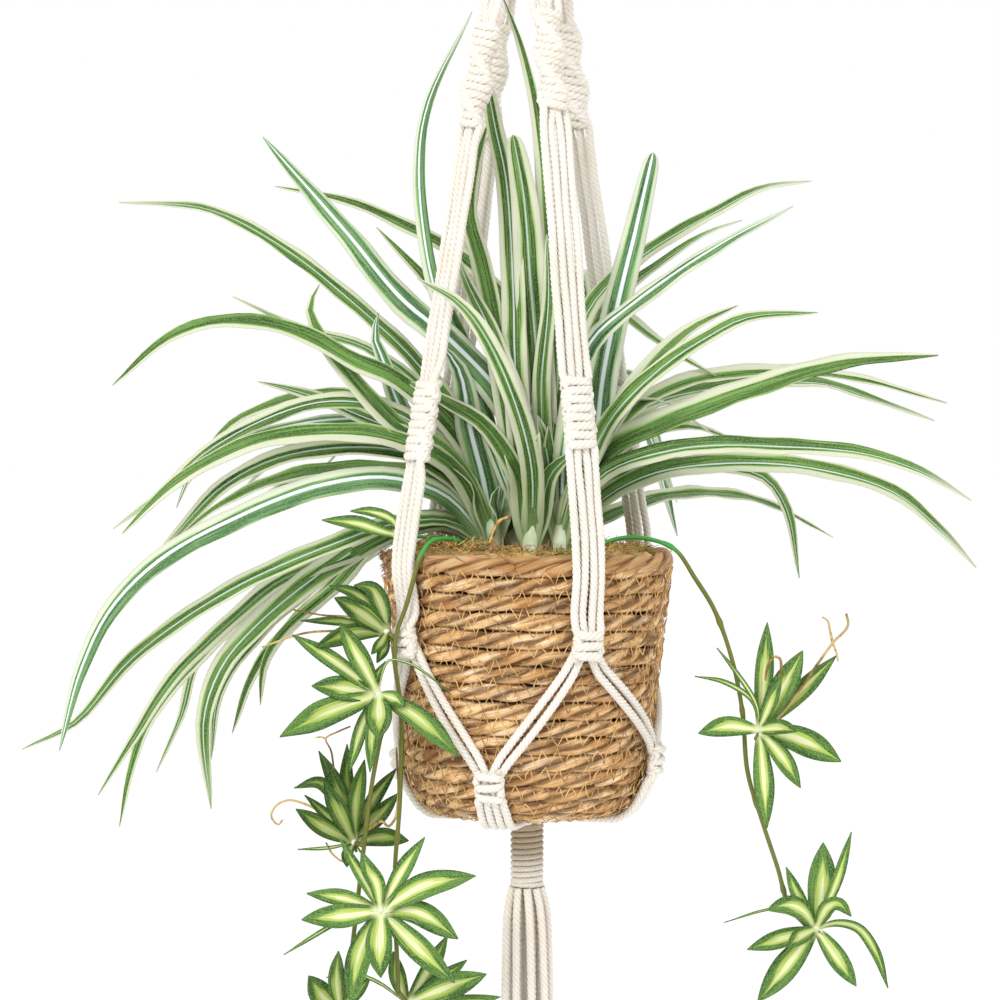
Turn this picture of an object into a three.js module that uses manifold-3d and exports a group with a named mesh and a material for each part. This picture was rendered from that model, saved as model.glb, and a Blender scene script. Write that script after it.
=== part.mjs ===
// A potted spider plant in a seagrass basket, hung in a knotted cotton cord hanger.
// Millimetres, +Z up. The front, as the plant is usually looked at, faces -Y.
// Heights are counted from the basket's rim; at the end everything is moved down, so that the
// origin is the point of the hanging ring that bears on the hook.
import * as THREE from "three";
import { mergeVertices } from "three/addons/utils/BufferGeometryUtils.js";
import Module from "manifold-3d";

const wasm = await Module();
wasm.setup();

// Driving dimensions
const GAP = 0.3; // between pieces that touch
const CORD = 4.8; // cotton cord, diameter
const RING_HEIGHT = 497; // centre of the hanging ring above the rim
const RING_RADIUS = 23.5; // of the ring's centreline
const RING_BAR = 3.5; // radius of the ring's bar
const TOP_WRAP = { low: 426, high: 462, radius: 11.4 };
const GATHER_WRAP = { low: -191, high: -158.5, radius: 10.6 };
const NECK = 7.2; // radius of the sixteen cords where they are bound together
const TASSEL_LENGTH = 165;
const TASSEL_CORD = 2.15; // radius of its strands, which are drawn in at the top
const BASKET = {
  rim: 82.5, // outer radius at the top
  waist: 70, // outer radius where the foot begins to round
  waistHeight: -106,
  foot: 50, // radius of the flat bottom
  height: 147.5,
  wall: 9,
  rows: 15,
};
const LINER = { top: -9, wall: 1.2 };
const SOIL_HEIGHT = -13;
const MOSS_HEIGHT = 1.5;
const CROWN = { radius: 6, depth: -42, top: 3 };
const RUNNER = 1.5; // radius of the trailing stems
const BAND = 9.7; // half the width of four cords lying side by side
const LEG_RADIUS = 85.4; // of the hanger's legs at the rim
const LEG_APEX = 436; // where the legs' lines would meet
const LEGS_TOP = 360;
const SPLIT = { high: -34.5, low: -57.5 }; // the knots on the basket, below which the cords part
const SEGMENTS = 22; // round the basket

// Where the front view is taken from. Places on the plant are given as they are seen in it.
const EYE = new THREE.Vector3(-15, -1900, 90);

const COLOURS = {
  seagrass: 0xb98a52,
  liner: 0x3b3a36,
  soil: 0x3a2a1c,
  moss: 0x9a7a35,
  leaf: 0x5f8f4f,
  plantlet: 0x86ac45,
  runner: 0x66743a,
  cotton: 0xeee6da,
  wood: 0xc89f6c,
};

const DEG = Math.PI / 180;
const root = new THREE.Group();
const hung = new THREE.Group();
root.add(hung);
hung.position.z = -(RING_HEIGHT + RING_RADIUS - RING_BAR);

const v3 = (x, y, z) => new THREE.Vector3(x, y, z);
const polar = (radius, way, z) => v3(radius * Math.cos(way * DEG), radius * Math.sin(way * DEG), z);

// The real place of a point that the front view shows at x, z and that lies y behind the basket's axis.
function seen(x, y, z) {
  const spread = 1 - y / EYE.y;
  return v3(EYE.x + (x - EYE.x) * spread, y, EYE.z + (z - EYE.z) * spread);
}

// Solids and nodes
function solid(geometry) {
  const bare = geometry.index ? geometry.clone() : geometry;
  bare.deleteAttribute("normal");
  bare.deleteAttribute("uv");
  const merged = mergeVertices(bare, 1e-4);
  return new wasm.Manifold(
    new wasm.Mesh({
      numProp: 3,
      vertProperties: merged.attributes.position.array,
      triVerts: new Uint32Array(merged.index.array),
    }),
  );
}

function geometryOf(made) {
  const mesh = made.getMesh();
  return new THREE.BufferGeometry()
    .setAttribute("position", new THREE.BufferAttribute(mesh.vertProperties, 3))
    .setIndex(new THREE.BufferAttribute(mesh.triVerts, 1));
}

function node(name, geometry, colour, roughness = 0.8) {
  const flat = geometry.index ? geometry.toNonIndexed() : geometry;
  flat.computeVertexNormals();
  const material = new THREE.MeshStandardMaterial({ color: colour, roughness, metalness: 0 });
  const mesh = new THREE.Mesh(flat, material);
  mesh.name = name;
  hung.add(mesh);
}

// Joins solids into one. Small hollows sealed in between them are filled.
function fuse(solids) {
  const shells = wasm.Manifold.union(solids).decompose();
  return wasm.Manifold.union(shells.filter((shell) => shell.volume() > 0));
}

// The surface through rings of points, closed at both ends. A ring of one point is a tip.
function loft(rings) {
  const corners = [];
  const starts = [];
  for (const ring of rings) {
    starts.push(corners.length);
    corners.push(...ring);
  }
  const faces = [];
  for (let i = 0; i + 1 < rings.length; i++) {
    const [a, b] = [rings[i].length, rings[i + 1].length];
    for (let k = 0; k < Math.max(a, b); k++) {
      const low = [starts[i] + (k % a), starts[i] + ((k + 1) % a)];
      const high = [starts[i + 1] + (k % b), starts[i + 1] + ((k + 1) % b)];
      if (a > 1) faces.push(low[0], low[1], high[1]);
      if (b > 1) faces.push(low[0], high[1], high[0]);
    }
  }
  const last = rings.length - 1;
  for (let k = 1; k + 1 < rings[0].length; k++) faces.push(0, k + 1, k);
  const end = starts[last];
  for (let k = 1; k + 1 < rings[last].length; k++) faces.push(end, end + k, end + k + 1);
  const made = new THREE.BufferGeometry().setFromPoints(corners);
  made.setIndex(faces);
  return made;
}

// A round rod along a curve.
function rod(points, radius, sides, steps) {
  const section = new THREE.Shape();
  for (let k = 0; k < sides; k++) {
    const turn = (2 * Math.PI * k) / sides;
    const [x, y] = [radius * Math.cos(turn), radius * Math.sin(turn)];
    if (k) section.lineTo(x, y);
    else section.moveTo(x, y);
  }
  const straight = points.length === 2;
  const path = straight
    ? new THREE.LineCurve3(...points)
    : new THREE.CatmullRomCurve3(points, false, "centripetal");
  return new THREE.ExtrudeGeometry(section, { steps, extrudePath: path, bevelEnabled: false });
}

function lathe(profile, segments) {
  const made = new THREE.LatheGeometry(profile.map(([r, z]) => new THREE.Vector2(r, z)), segments);
  return made.rotateX(Math.PI / 2);
}

// Points round a section that is 2 across wide and 2 out thick. Wide x thick is the way of travel.
function ringOf(centre, wide, thick, across, out, twist = 0, sides = 8) {
  const points = [];
  for (let k = 0; k < sides; k++) {
    const turn = ((k + 0.5) * 2 * Math.PI) / sides;
    const u = (across * Math.cos(turn)) / Math.cos(Math.PI / sides);
    const v = (out * Math.sin(turn)) / Math.cos(Math.PI / sides);
    const point = centre.clone();
    point.addScaledVector(wide, u * Math.cos(twist) - v * Math.sin(twist));
    point.addScaledVector(thick, u * Math.sin(twist) + v * Math.cos(twist));
    points.push(point);
  }
  return points;
}

// The basket's outer radius at a height: a slight taper, then a rounded foot.
function basketRadius(z) {
  if (z > BASKET.waistHeight) {
    return THREE.MathUtils.lerp(BASKET.waist, BASKET.rim, (z - BASKET.waistHeight) / -BASKET.waistHeight);
  }
  const fall = (BASKET.waistHeight - z) / (BASKET.height + BASKET.waistHeight);
  return BASKET.foot + (BASKET.waist - BASKET.foot) * Math.sqrt(Math.max(0, 1 - fall * fall));
}

// Leaves and stems
const CROWNS = {
  left: v3(-19, -6, 0),
  middle: v3(-8, 9, 0),
  front: v3(2, -15, 0),
  right: v3(12, 4, 0),
  outer: v3(19, -9, 0),
  back: v3(9, 24, 0),
};

// Each leaf: its crown, how far back its tip is, its width, how far it is turned to the front in
// degrees, and the points x, z that it passes as seen from the front, the last one its tip.
const LEAVES = [
  ["middle", 40, 9, 50, [-35, 45], [-62, 62], [-90, 74], [-125, 88], [-152, 95]],
  ["middle", 70, 9, 45, [-40, 52], [-75, 78], [-113, 87], [-160, 75], [-188, 50]],
  ["left", -20, 8, 55,
    [-45, 55], [-78, 79], [-110, 84], [-140, 77], [-180, 56], [-207, 32], [-234, 12]],
  ["middle", 90, 8, 50, [-42, 50], [-80, 72], [-117, 73], [-163, 61], [-190, 42], [-198, 24]],
  ["left", -50, 9, 55, [-42, 45], [-75, 62], [-110, 66], [-155, 60], [-198, 38], [-229, 9]],
  ["middle", 100, 8, 40, [-40, 45], [-75, 60], [-110, 64], [-130, 60], [-160, 35]],
  ["left", -30, 9, 55, [-38, 36], [-66, 54], [-94, 58], [-140, 52], [-173, 35], [-198, 9], [-214, -9]],
  ["left", 60, 9, 50, [-40, 32], [-62, 42], [-87, 45], [-132, 42], [-170, 27], [-195, 9]],
  ["middle", 110, 7, 45, [-50, 36], [-85, 46], [-115, 45], [-160, 25]],
  ["left", -80, 10, 70,
    [-45, 30], [-79, 41], [-119, 36], [-163, 19], [-207, -5], [-236, -34], [-253, -69], [-265, -114]],
  ["left", -40, 8, 60,
    [-42, 16], [-73, 15], [-110, 3], [-170, -24], [-224, -62], [-256, -98], [-286, -113]],
  ["left", 20, 8, 60,
    [-45, 14], [-74, 9], [-100, -3], [-140, -18], [-170, -43], [-201, -73], [-221, -104], [-243, -139]],
  ["left", 60, 7, 50,
    [-50, 14], [-82, 9], [-115, -8], [-160, -38], [-201, -79], [-216, -101], [-224, -123], [-231, -157]],
  ["left", 85, 7, 50,
    [-50, 13], [-82, 8], [-115, -11], [-155, -32], [-186, -62], [-196, -95], [-210, -126]],
  ["middle", -10, 11, 60,
    [-45, 16], [-82, 8], [-112, -10], [-150, -40], [-172, -65], [-183, -96], [-179, -147]],
  ["middle", 60, 8, 50, [-45, 14], [-84, 6], [-118, -18], [-153, -50], [-174, -81], [-179, -119]],
  ["middle", 90, 8, 45, [-45, 14], [-80, 6], [-108, -22], [-136, -46], [-148, -64], [-151, -88]],
  ["back", 115, 9, 45, [-40, 16], [-80, 4], [-115, -26], [-152, -66], [-167, -104]],
  ["middle", 50, 8, 50, [-30, 60], [-62, 105], [-100, 141], [-140, 172], [-180, 192], [-230, 196]],
  ["right", -28, 13, 60, [5, 46], [-12, 84], [-45, 120], [-72, 143], [-100, 177], [-149, 233]],
  ["right", 40, 9, 50, [8, 50], [6, 100], [-8, 133], [-36, 164], [-66, 181], [-100, 196], [-142, 205]],
  ["middle", 10, 7, 60, [-25, 80], [-42, 130], [-56, 151], [-70, 166], [-85, 182]],
  ["front", 10, 6, 70, [-20, 60], [-42, 120], [-54, 154], [-61, 215], [-56, 251], [-31, 303]],
  ["front", 3, 10, 80, [-8, 60], [-18, 120], [-26, 162], [-33, 190], [-30, 215], [-22, 241]],
  ["front", 3, 10, 80, [-4, 60], [-7, 110], [-8, 150], [-12, 209], [-18, 238], [-23, 264]],
  ["right", -8, 14, 80, [8, 50], [6, 100], [2, 150], [-2, 200], [-8, 234]],
  ["right", -3, 7, 70, [12, 60], [13, 130], [10, 188], [5, 246], [-4, 284], [-14, 312]],
  ["right", -15, 8, 75, [10, 45], [8, 92], [12, 140], [11, 178]],
  ["middle", -60, 9, 55,
    [-38, 62], [-72, 94], [-98, 106], [-130, 123], [-168, 129], [-200, 121], [-234, 93]],
  ["left", -25, 9, 60,
    [-27, 24], [-48, 55], [-73, 69], [-91, 87], [-114, 116], [-123, 137], [-117, 150]],
  ["middle", 75, 6, 50, [-45, 75], [-89, 113], [-130, 126], [-166, 143]],
  ["left", -5, 9, 85, [-40, 40], [-70, 77], [-81, 107], [-86, 120], [-84, 134]],
  ["front", -6, 9, 75, [0, 60], [-20, 122], [-33, 149], [-42, 172]],
  ["front", -62, 9, 70, [2, 50], [-18, 110], [-38, 139], [-62, 153]],
  ["left", -14, 13, 80, [-24, 36], [-32, 68], [-38, 101], [-48, 116]],
  ["right", -22, 8, 70, [12, 30], [12, 50], [12, 70]],
  ["front", -15, 8, 65, [0, 25], [-22, 68], [-48, 85], [-70, 96]],
  ["outer", 25, 8, 50, [20, 70], [33, 132], [60, 162], [107, 191], [133, 204], [160, 208]],
  ["outer", -60, 9, 50, [22, 65], [35, 116], [61, 140], [108, 172], [150, 194]],
  ["outer", 15, 6, 50, [25, 80], [45, 135], [77, 163], [102, 179], [121, 186]],
  ["outer", -20, 12, 75, [34, 32], [39, 64], [43, 99], [52, 143], [61, 180], [71, 224]],
  ["right", 22, 7, 45, [20, 80], [31, 128], [48, 136], [71, 120], [91, 107], [107, 98]],
  ["outer", -50, 9, 60, [35, 50], [52, 79], [71, 106], [94, 126], [119, 138]],
  ["outer", -80, 8, 55, [45, 70], [75, 102], [100, 119], [124, 131], [164, 134]],
  ["right", 40, 8, 50, [30, 50], [55, 76], [86, 94], [133, 101], [180, 98], [237, 83]],
  ["right", 85, 8, 45, [40, 62], [70, 82], [100, 90], [165, 94], [195, 85], [230, 73]],
  ["outer", -70, 11, 60, [40, 53], [86, 76], [133, 93], [180, 106], [232, 110]],
  ["outer", -110, 8, 60, [40, 40], [86, 57], [149, 58], [192, 54], [223, 44], [251, 28]],
  ["outer", -30, 9, 60, [40, 26], [71, 43], [125, 49], [172, 44], [208, 32], [234, 11], [254, -10]],
  ["back", 190, 8, 50, [41, 17], [72, 29], [102, 32], [133, 27], [173, 7]],
  ["right", 30, 7, 50, [35, 34], [66, 47], [100, 47], [132, 42], [146, 25], [154, -16]],
  ["right", 60, 6, 45, [35, 40], [60, 62], [91, 70], [118, 62]],
];

// Leaves at the back, which the front view hides: the way each goes, in degrees
const BACK_LEAVES = [-8, 58, 68, 78, 91, 102, 112, 174, 63, 84, 97];

// Plantlets: where the heart of each is, where it grows from a trailing stem, both as x, y, z as
// seen from the front, and its leaves: how far back the tip is, the width, and the points passed.
const PLANTLETS = {
  upper_left: [[-79.5, -54, -46.5], [[-74.3, -57, -50]], [
    [-42, 7, [-95, -26], [-112, -20]],
    [-62, 13, [-92, -37], [-109, -27]],
    [-46, 10, [-82, -33], [-88, -22], [-98, -20]],
    [-44, 5, [-103, -41], [-128, -40]],
    [-64, 10, [-98, -47], [-120, -55]],
    [-72, 6, [-82, -52], [-88, -59]],
    [-50, 6, [-81, -56], [-85, -64]],
  ]],
  middle_left: [[-84, -66, -82], [[-72, -56, -84], [-79.5, -59, -90]], [
    [-60, 9, [-108, -64], [-133, -48]],
    [-74, 11, [-95, -61], [-106, -41]],
    [-66, 14, [-103, -79], [-122, -77]],
    [-78, 15, [-112, -92], [-140, -106]],
    [-66, 7, [-92, -96], [-101, -126]],
    [-76, 7, [-87, -98], [-89, -126]],
    [-90, 14, [-84, -95], [-84, -107]],
    [-82, 12, [-62, -95], [-39, -117]],
    [-74, 8, [-76, -84], [-69, -89]],
    [-64, 4, [-85, -72], [-80, -63]],
  ]],
  lower_left: [[-98, -48, -166], [[-92.3, -54, -168]], [
    [-58, 9, [-97, -143], [-92, -119]],
    [-50, 10, [-105, -143], [-112, -122]],
    [-62, 10, [-107, -148], [-115, -132]],
    [-58, 10, [-116, -157], [-131, -147]],
    [-44, 6, [-112, -152], [-126, -139]],
    [-38, 8, [-108, -141], [-118, -132], [-132, -135]],
    [-34, 9, [-106, -138], [-118, -114]],
    [-28, 8, [-102, -138], [-102, -110]],
    [-40, 9, [-85, -152], [-73, -138]],
    [-32, 8, [-86, -140], [-74, -124]],
    [-42, 10, [-82, -163], [-67, -165]],
    [-56, 6, [-102, -173], [-102, -180]],
  ]],
  star: [[-83, -64, -205], [[-74.5, -54.7, -201]], [
    [-66, 6, [-93, -187], [-106, -164]],
    [-72, 9, [-85, -190], [-90, -181], [-94, -171]],
    [-68, 9, [-71, -183], [-58, -163]],
    [-74, 14, [-58, -191], [-29, -185]],
    [-68, 13, [-62, -206], [-39, -221]],
    [-76, 13, [-64, -224], [-41, -246]],
    [-86, 14, [-84, -224], [-83, -243]],
    [-74, 13, [-95, -230], [-100, -258]],
    [-72, 13, [-105, -208], [-128, -210]],
    [-62, 9, [-103, -198], [-125, -195]],
  ]],
  bottom: [[-68, -50, -258], [[-73, -54, -251]], [
    [-36, 9, [-54, -236], [-45, -219]],
    [-44, 8, [-50, -245], [-34, -233]],
    [-60, 14, [-46, -249], [-23, -241]],
    [-54, 9, [-40, -258], [-15, -254]],
    [-40, 9, [-73, -244], [-76, -228]],
    [-60, 12, [-58, -275], [-48, -292]],
    [-58, 12, [-77, -278], [-84, -295]],
  ]],
  bottom_left: [[-106, -46, -262], [[-103, -42, -255]], [
    [-80, 9, [-108, -244], [-107, -228]],
    [-54, 13, [-116, -254], [-124, -242]],
    [-40, 7, [-97, -252], [-89, -243]],
    [-50, 12, [-125, -268], [-143, -276]],
    [-56, 12, [-113, -282], [-119, -301]],
    [-44, 11, [-98, -280], [-93, -298]],
  ]],
  upper_right: [[131.5, -28, -102], [[122.9, -24, -100]], [
    [-8, 10, [134, -72], [136, -41]],
    [-24, 10, [145, -78], [156, -57]],
    [-14, 10, [153, -82], [175, -60]],
    [-42, 7, [138, -86], [144, -72]],
    [-26, 12, [155, -108], [178, -120]],
    [-36, 12, [144, -117], [155, -135]],
    [-30, 11, [134, -130], [136, -158]],
    [-36, 11, [114, -100], [97, -104]],
    [-52, 10, [142, -101], [153, -103]],
  ]],
  lower_right: [[164, -20, -215], [[158, -20, -213]], [
    [-10, 10, [167, -190], [168, -166]],
    [-26, 9, [154, -197], [147, -180]],
    [-16, 9, [176, -187], [184, -160]],
    [-42, 8, [174, -212], [183, -210]],
    [-34, 9, [150, -206], [136, -204]],
    [-30, 11, [144, -221], [125, -227]],
    [-48, 9, [156, -224], [149, -230]],
    [-22, 11, [148, -236], [131, -258]],
    [-30, 11, [176, -232], [188, -248]],
    [-12, 10, [184, -228], [205, -249]],
    [-30, 11, [164, -238], [165, -262]],
  ]],
};

// Trailing stems, as points x, y, z as seen from the front
const RUNNERS = {
  left: [
    [-33, -33, -22], [-34, -34, -2], [-37, -37, 4], [-46, -46, 6.5], [-55, -54, 4.5], [-60, -59, -3],
    [-63.5, -60.5, -14], [-68.5, -59, -32], [-74, -57, -48], [-75, -57, -62], [-71.5, -56, -90],
    [-72, -56, -142], [-75, -55, -185], [-73, -54, -251],
  ],
  left_branch: [
    [-79.5, -59, -90], [-83, -56, -106], [-89, -54, -140], [-92, -54, -165], [-95, -53, -190],
    [-98, -50, -216], [-103, -42, -255],
  ],
  right: [
    [36, -14, -22], [42, -15, 2], [56, -17, 7], [72, -20, 5.5], [84, -22, 0], [95, -24, -16],
    [106, -25, -34], [116, -25, -62], [122, -24, -92], [125, -23, -126], [133, -22, -153],
    [142, -21, -180], [149, -20, -203], [158, -20, -213],
  ],
};

const leafWidth = (t) => Math.min(1, 0.6 + 1.8 * t) * Math.min(1, 1.45 * (1 - t) ** 0.62);
const plantletWidth = (t) => 0.28 + 0.72 * Math.sin(Math.PI * Math.min(1, t / 1.1) ** 0.95) ** 0.9;

// A leaf is a shallow gutter, thickest along its middle.
function blade(points, width, facing, shape) {
  const path = new THREE.CatmullRomCurve3(points, false, "centripetal");
  const steps = THREE.MathUtils.clamp(Math.round(path.getLength() / 49), 3, 6);
  const lean = v3(0, -Math.sin(facing * DEG), Math.cos(facing * DEG));
  const thick = 0.45;
  const rings = [];
  for (let i = 0; i <= steps; i++) {
    const at = path.getPointAt(i / steps);
    const along = path.getTangentAt(i / steps);
    const up = lean.clone().addScaledVector(along, -lean.dot(along)).normalize();
    const side = along.clone().cross(up);
    const half = (width / 2) * shape(i / steps);
    const edge = (way) => at.clone().addScaledVector(side, way * half).addScaledVector(up, 0.28 * half);
    const crest = at.clone().addScaledVector(up, thick);
    const keel = at.clone().addScaledVector(up, -thick);
    rings.push(i < steps ? [crest, edge(1), keel, edge(-1)] : [at]);
  }
  return solid(loft(rings));
}

// The places of a leaf's points: depth grows evenly from its root to its tip.
function seenPath(root, tipDepth, points) {
  const places = [root];
  const stops = [new THREE.Vector2(root.x, root.z), ...points.map(([x, z]) => new THREE.Vector2(x, z))];
  let run = 0;
  const runs = stops.map((stop, i) => (run += i ? stop.distanceTo(stops[i - 1]) : 0));
  for (let i = 1; i < stops.length; i++) {
    places.push(seen(stops[i].x, THREE.MathUtils.lerp(root.y, tipDepth, runs[i] / run), stops[i].y));
  }
  return places;
}

const crownHoles = [];
{
  const foliage = [];
  for (const crown of Object.values(CROWNS)) {
    const foot = v3(crown.x, crown.y, CROWN.depth);
    const top = v3(crown.x, crown.y, CROWN.top);
    const heart = [[CROWN.depth, CROWN.radius], [-6, CROWN.radius], [12, 9.5], [26, 8]];
    const turns = [v3(1, 0, 0), v3(0, 1, 0)];
    const rings = heart.map(([z, r]) => ringOf(v3(crown.x, crown.y, z), ...turns, 0.9 * r, 0.9 * r));
    foliage.push(solid(loft(rings)));
    crownHoles.push(solid(rod([v3(foot.x, foot.y, foot.z - GAP), top], CROWN.radius + 3 * GAP, 12, 1)));
  }
  const hearts = Object.values(CROWNS).map((crown) => v3(crown.x, crown.y, -5));
  for (let i = 1; i < hearts.length; i++) {
    foliage.push(solid(rod([hearts[i - 1], hearts[i]], 3.5, 6, 1)));
  }
  for (const [crown, tipDepth, width, facing, ...points] of LEAVES) {
    foliage.push(blade(seenPath(CROWNS[crown], tipDepth, points), width, facing, leafWidth));
  }
  BACK_LEAVES.forEach((way, k) => {
    const spread = (k * 0.618) % 1;
    const reach = 100 + 95 * spread;
    const rise = Math.max(85, 200 - 4 * Math.abs(way - 88));
    const rootPoint = CROWNS.back;
    const heading = polar(1, way, 0);
    const at = (share, z) => rootPoint.clone().addScaledVector(heading, reach * share).setZ(z);
    const points = [rootPoint, at(0.24, 0.7 * rise), at(0.6, rise), at(1, rise * (0.75 - 0.8 * spread))];
    foliage.push(blade(points, 8 + 2 * spread, 0, leafWidth));
  });
  node("foliage", geometryOf(fuse(foliage)), COLOURS.leaf, 0.45);
}

const runnerHoles = [];
const runnerSeats = [];
for (const [name, points] of Object.entries(RUNNERS)) {
  const places = points.map(([x, y, z]) => seen(x, y, z));
  const steps = Math.round(1.5 * places.length);
  node("runner_" + name, rod(places, RUNNER, 5, steps), COLOURS.runner, 0.5);
  runnerSeats.push(solid(rod(places, RUNNER + 1.2 * GAP, 5, steps)));
  if (points[0][2] > -60) runnerHoles.push(solid(rod(places.slice(0, 4), RUNNER + 1.8, 6, 4)));
}

for (const [name, [middle, seats, leaves]] of Object.entries(PLANTLETS)) {
  const heart = seen(...middle);
  const parts = [solid(new THREE.SphereGeometry(3.4, 6, 4).translate(heart.x, heart.y, heart.z))];
  for (const seat of seats) parts.push(solid(rod([heart, seen(...seat)], 1.3, 5, 1)));
  for (const [tipDepth, width, ...points] of leaves) {
    const places = seenPath(v3(...middle), tipDepth, points);
    places[0] = heart;
    parts.push(blade(places, width, 75, plantletWidth));
  }
  const seated = fuse(parts).subtract(wasm.Manifold.union(runnerSeats));
  const largest = seated.decompose().sort((a, b) => b.volume() - a.volume())[0];
  node("plantlet_" + name, geometryOf(largest), COLOURS.plantlet, 0.45);
}

// Basket: coils of twisted seagrass, stitched one on the next, with a liner in it
{
  const pitch = BASKET.height / BASKET.rows;
  const dent = 1.6;
  const floor = -BASKET.height + BASKET.wall;
  const inner = (z) => basketRadius(z) - BASKET.wall;
  const profile = [[0, -BASKET.height], [BASKET.foot, -BASKET.height]];
  for (let row = BASKET.rows - 1; row >= 0; row--) {
    const middle = -(row + 0.5) * pitch;
    profile.push([basketRadius(middle), middle]);
    if (row) profile.push([basketRadius(middle + pitch / 2) - dent, middle + pitch / 2]);
  }
  profile.push([BASKET.rim - BASKET.wall / 2, 0]);
  for (const z of [-4, BASKET.waistHeight, floor]) profile.push([inner(z), z]);
  profile.push([0, floor]);
  node("basket", lathe(profile, SEGMENTS), COLOURS.seagrass);

  const room = BASKET.wall + 2 * GAP;
  const outside = [floor, BASKET.waistHeight, LINER.top].map((z) => [basketRadius(z) - room, z]);
  outside[0][1] += GAP;
  const inside = outside.map(([r, z], i) => [r - LINER.wall, i ? z : z + LINER.wall]).reverse();
  const bowl = [[0, floor + GAP], ...outside, ...inside, [0, floor + GAP + LINER.wall]];
  node("liner", lathe(bowl, SEGMENTS), COLOURS.liner, 0.5);

  const fill = (z) => basketRadius(z) - room - LINER.wall - 2 * GAP;
  const bottom = floor + LINER.wall + 2 * GAP;
  const ground = [[0, bottom], [fill(floor), bottom]];
  for (const z of [BASKET.waistHeight, SOIL_HEIGHT]) ground.push([fill(z), z]);
  const holes = fuse([...crownHoles, ...runnerHoles]);
  const soil = solid(lathe([...ground, [0, SOIL_HEIGHT]], SEGMENTS));
  node("soil", geometryOf(soil.subtract(holes)), COLOURS.soil, 0.95);

  const low = SOIL_HEIGHT + GAP;
  const edge = fill(LINER.top);
  const bank = [[33, low], [edge, low], [edge, LINER.top], [69, -2], [56, MOSS_HEIGHT], [42, -2], [33, low]];
  const moss = solid(lathe(bank, SEGMENTS));
  node("moss", geometryOf(moss.subtract(holes)), COLOURS.moss, 1);
}

// Hanger: four legs of four cords, each with two runs of knots and a knot on the basket
const LEGS = {
  front_right: { way: -67, upper: [299, 248], middle: [95, 61] },
  back_right: { way: 39, upper: [296, 242], middle: [91, 58] },
  back_left: { way: 127, upper: [296, 236], middle: [70, 44] },
  front_left: { way: 216, upper: [293, 239], middle: [93, 54] },
};
for (const [name, leg] of Object.entries(LEGS)) {
  const outward = polar(1, leg.way, 0);
  const across = polar(1, leg.way + 90, 0);
  const rings = [];
  const add = (z, wide, thick, twist = 0) => {
    const away = z > 0 ? LEG_RADIUS * (1 - z / LEG_APEX) : basketRadius(z) + thick + GAP;
    rings.push(ringOf(outward.clone().multiplyScalar(away).setZ(z), across, outward, wide, thick, twist));
  };
  const [upper, middle] = [leg.upper, leg.middle];
  add(LEGS_TOP, BAND, CORD / 2);
  add(upper[0] + 12, BAND - 1.5, CORD / 2);
  for (let k = 0; k <= 6; k++) {
    add(THREE.MathUtils.lerp(upper[0], upper[1], k / 6), 7.6, 5, -k * 60 * DEG);
  }
  add(upper[1] - 12, BAND - 1.5, CORD / 2);
  add((upper[1] + middle[0]) / 2, BAND, CORD / 2);
  add(middle[0] + 10, BAND - 1, CORD / 2);
  add(middle[0], 7.4, 4.2);
  add((middle[0] + middle[1]) / 2, 8.6, 4.8);
  add(middle[1], 7.4, 4.2);
  add(middle[1] - 10, BAND - 1, CORD / 2);
  add(3, BAND, CORD / 2);
  add(-3, BAND, CORD / 2);
  add(-25, BAND - 1, CORD / 2);
  add(SPLIT.high, 7.4, 4.6);
  add((SPLIT.high + SPLIT.low) / 2, 8.4, 5);
  add(SPLIT.low, 7.4, 4.2);
  node("leg_" + name, loft(rings), COLOURS.cotton, 0.9);
}

// Below the knots the cords part two and two, and meet the neighbouring leg's on the basket.
const JOINS = {
  front: { way: -107, height: -125, from: ["front_left", "front_right"], ways: [-144, -67] },
  right: { way: -14, height: -116, from: ["front_right", "back_right"], ways: [-67, 39] },
  back: { way: 83, height: -121, from: ["back_right", "back_left"], ways: [39, 127] },
  left: { way: 171, height: -121, from: ["back_left", "front_left"], ways: [127, 216] },
};
const drop = BASKET.height + BASKET.waistHeight; // height of the rounded foot
const footAngle = (z) => Math.asin(THREE.MathUtils.clamp((BASKET.waistHeight - z) / drop, 0, 1));
function basketSkin(way, z) {
  const turn = footAngle(z);
  const spread = BASKET.waist - BASKET.foot;
  const out = v3(Math.cos(turn) / spread, 0, -Math.sin(turn) / drop).normalize();
  return {
    at: polar(basketRadius(z), way, z),
    out: polar(out.x, way, out.z),
  };
}
for (const [name, join] of Object.entries(JOINS)) {
  join.from.forEach((leg, side) => {
    const turnSign = side ? -1 : 1;
    const start = join.ways[side] + turnSign * 4;
    const end = join.way - turnSign * 4;
    const [high, low] = [SPLIT.low - GAP, join.height + 9];
    const spots = [];
    for (let k = 0; k <= 7; k++) {
      const z = THREE.MathUtils.lerp(high, low, k / 7);
      const skin = basketSkin(THREE.MathUtils.lerp(start, end, k / 7), z);
      spots.push({ out: skin.out, at: skin.at.addScaledVector(skin.out, CORD / 2 + GAP) });
    }
    const rings = spots.map((spot, k) => {
      const along = spots[Math.min(k + 1, 7)].at.clone().sub(spots[Math.max(k - 1, 0)].at).normalize();
      const out = spot.out.clone().addScaledVector(along, -spot.out.dot(along)).normalize();
      const level = polar(1, start + ((end - start) * k) / 7 + 90, 0);
      const flat = k % 7 ? out.clone().cross(along) : level;
      return ringOf(spot.at, flat, out, k ? BAND / 2 : 4.1, CORD / 2);
    });
    node("sling_" + name + "_from_" + leg, loft(rings), COLOURS.cotton, 0.9);
  });
}

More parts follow.
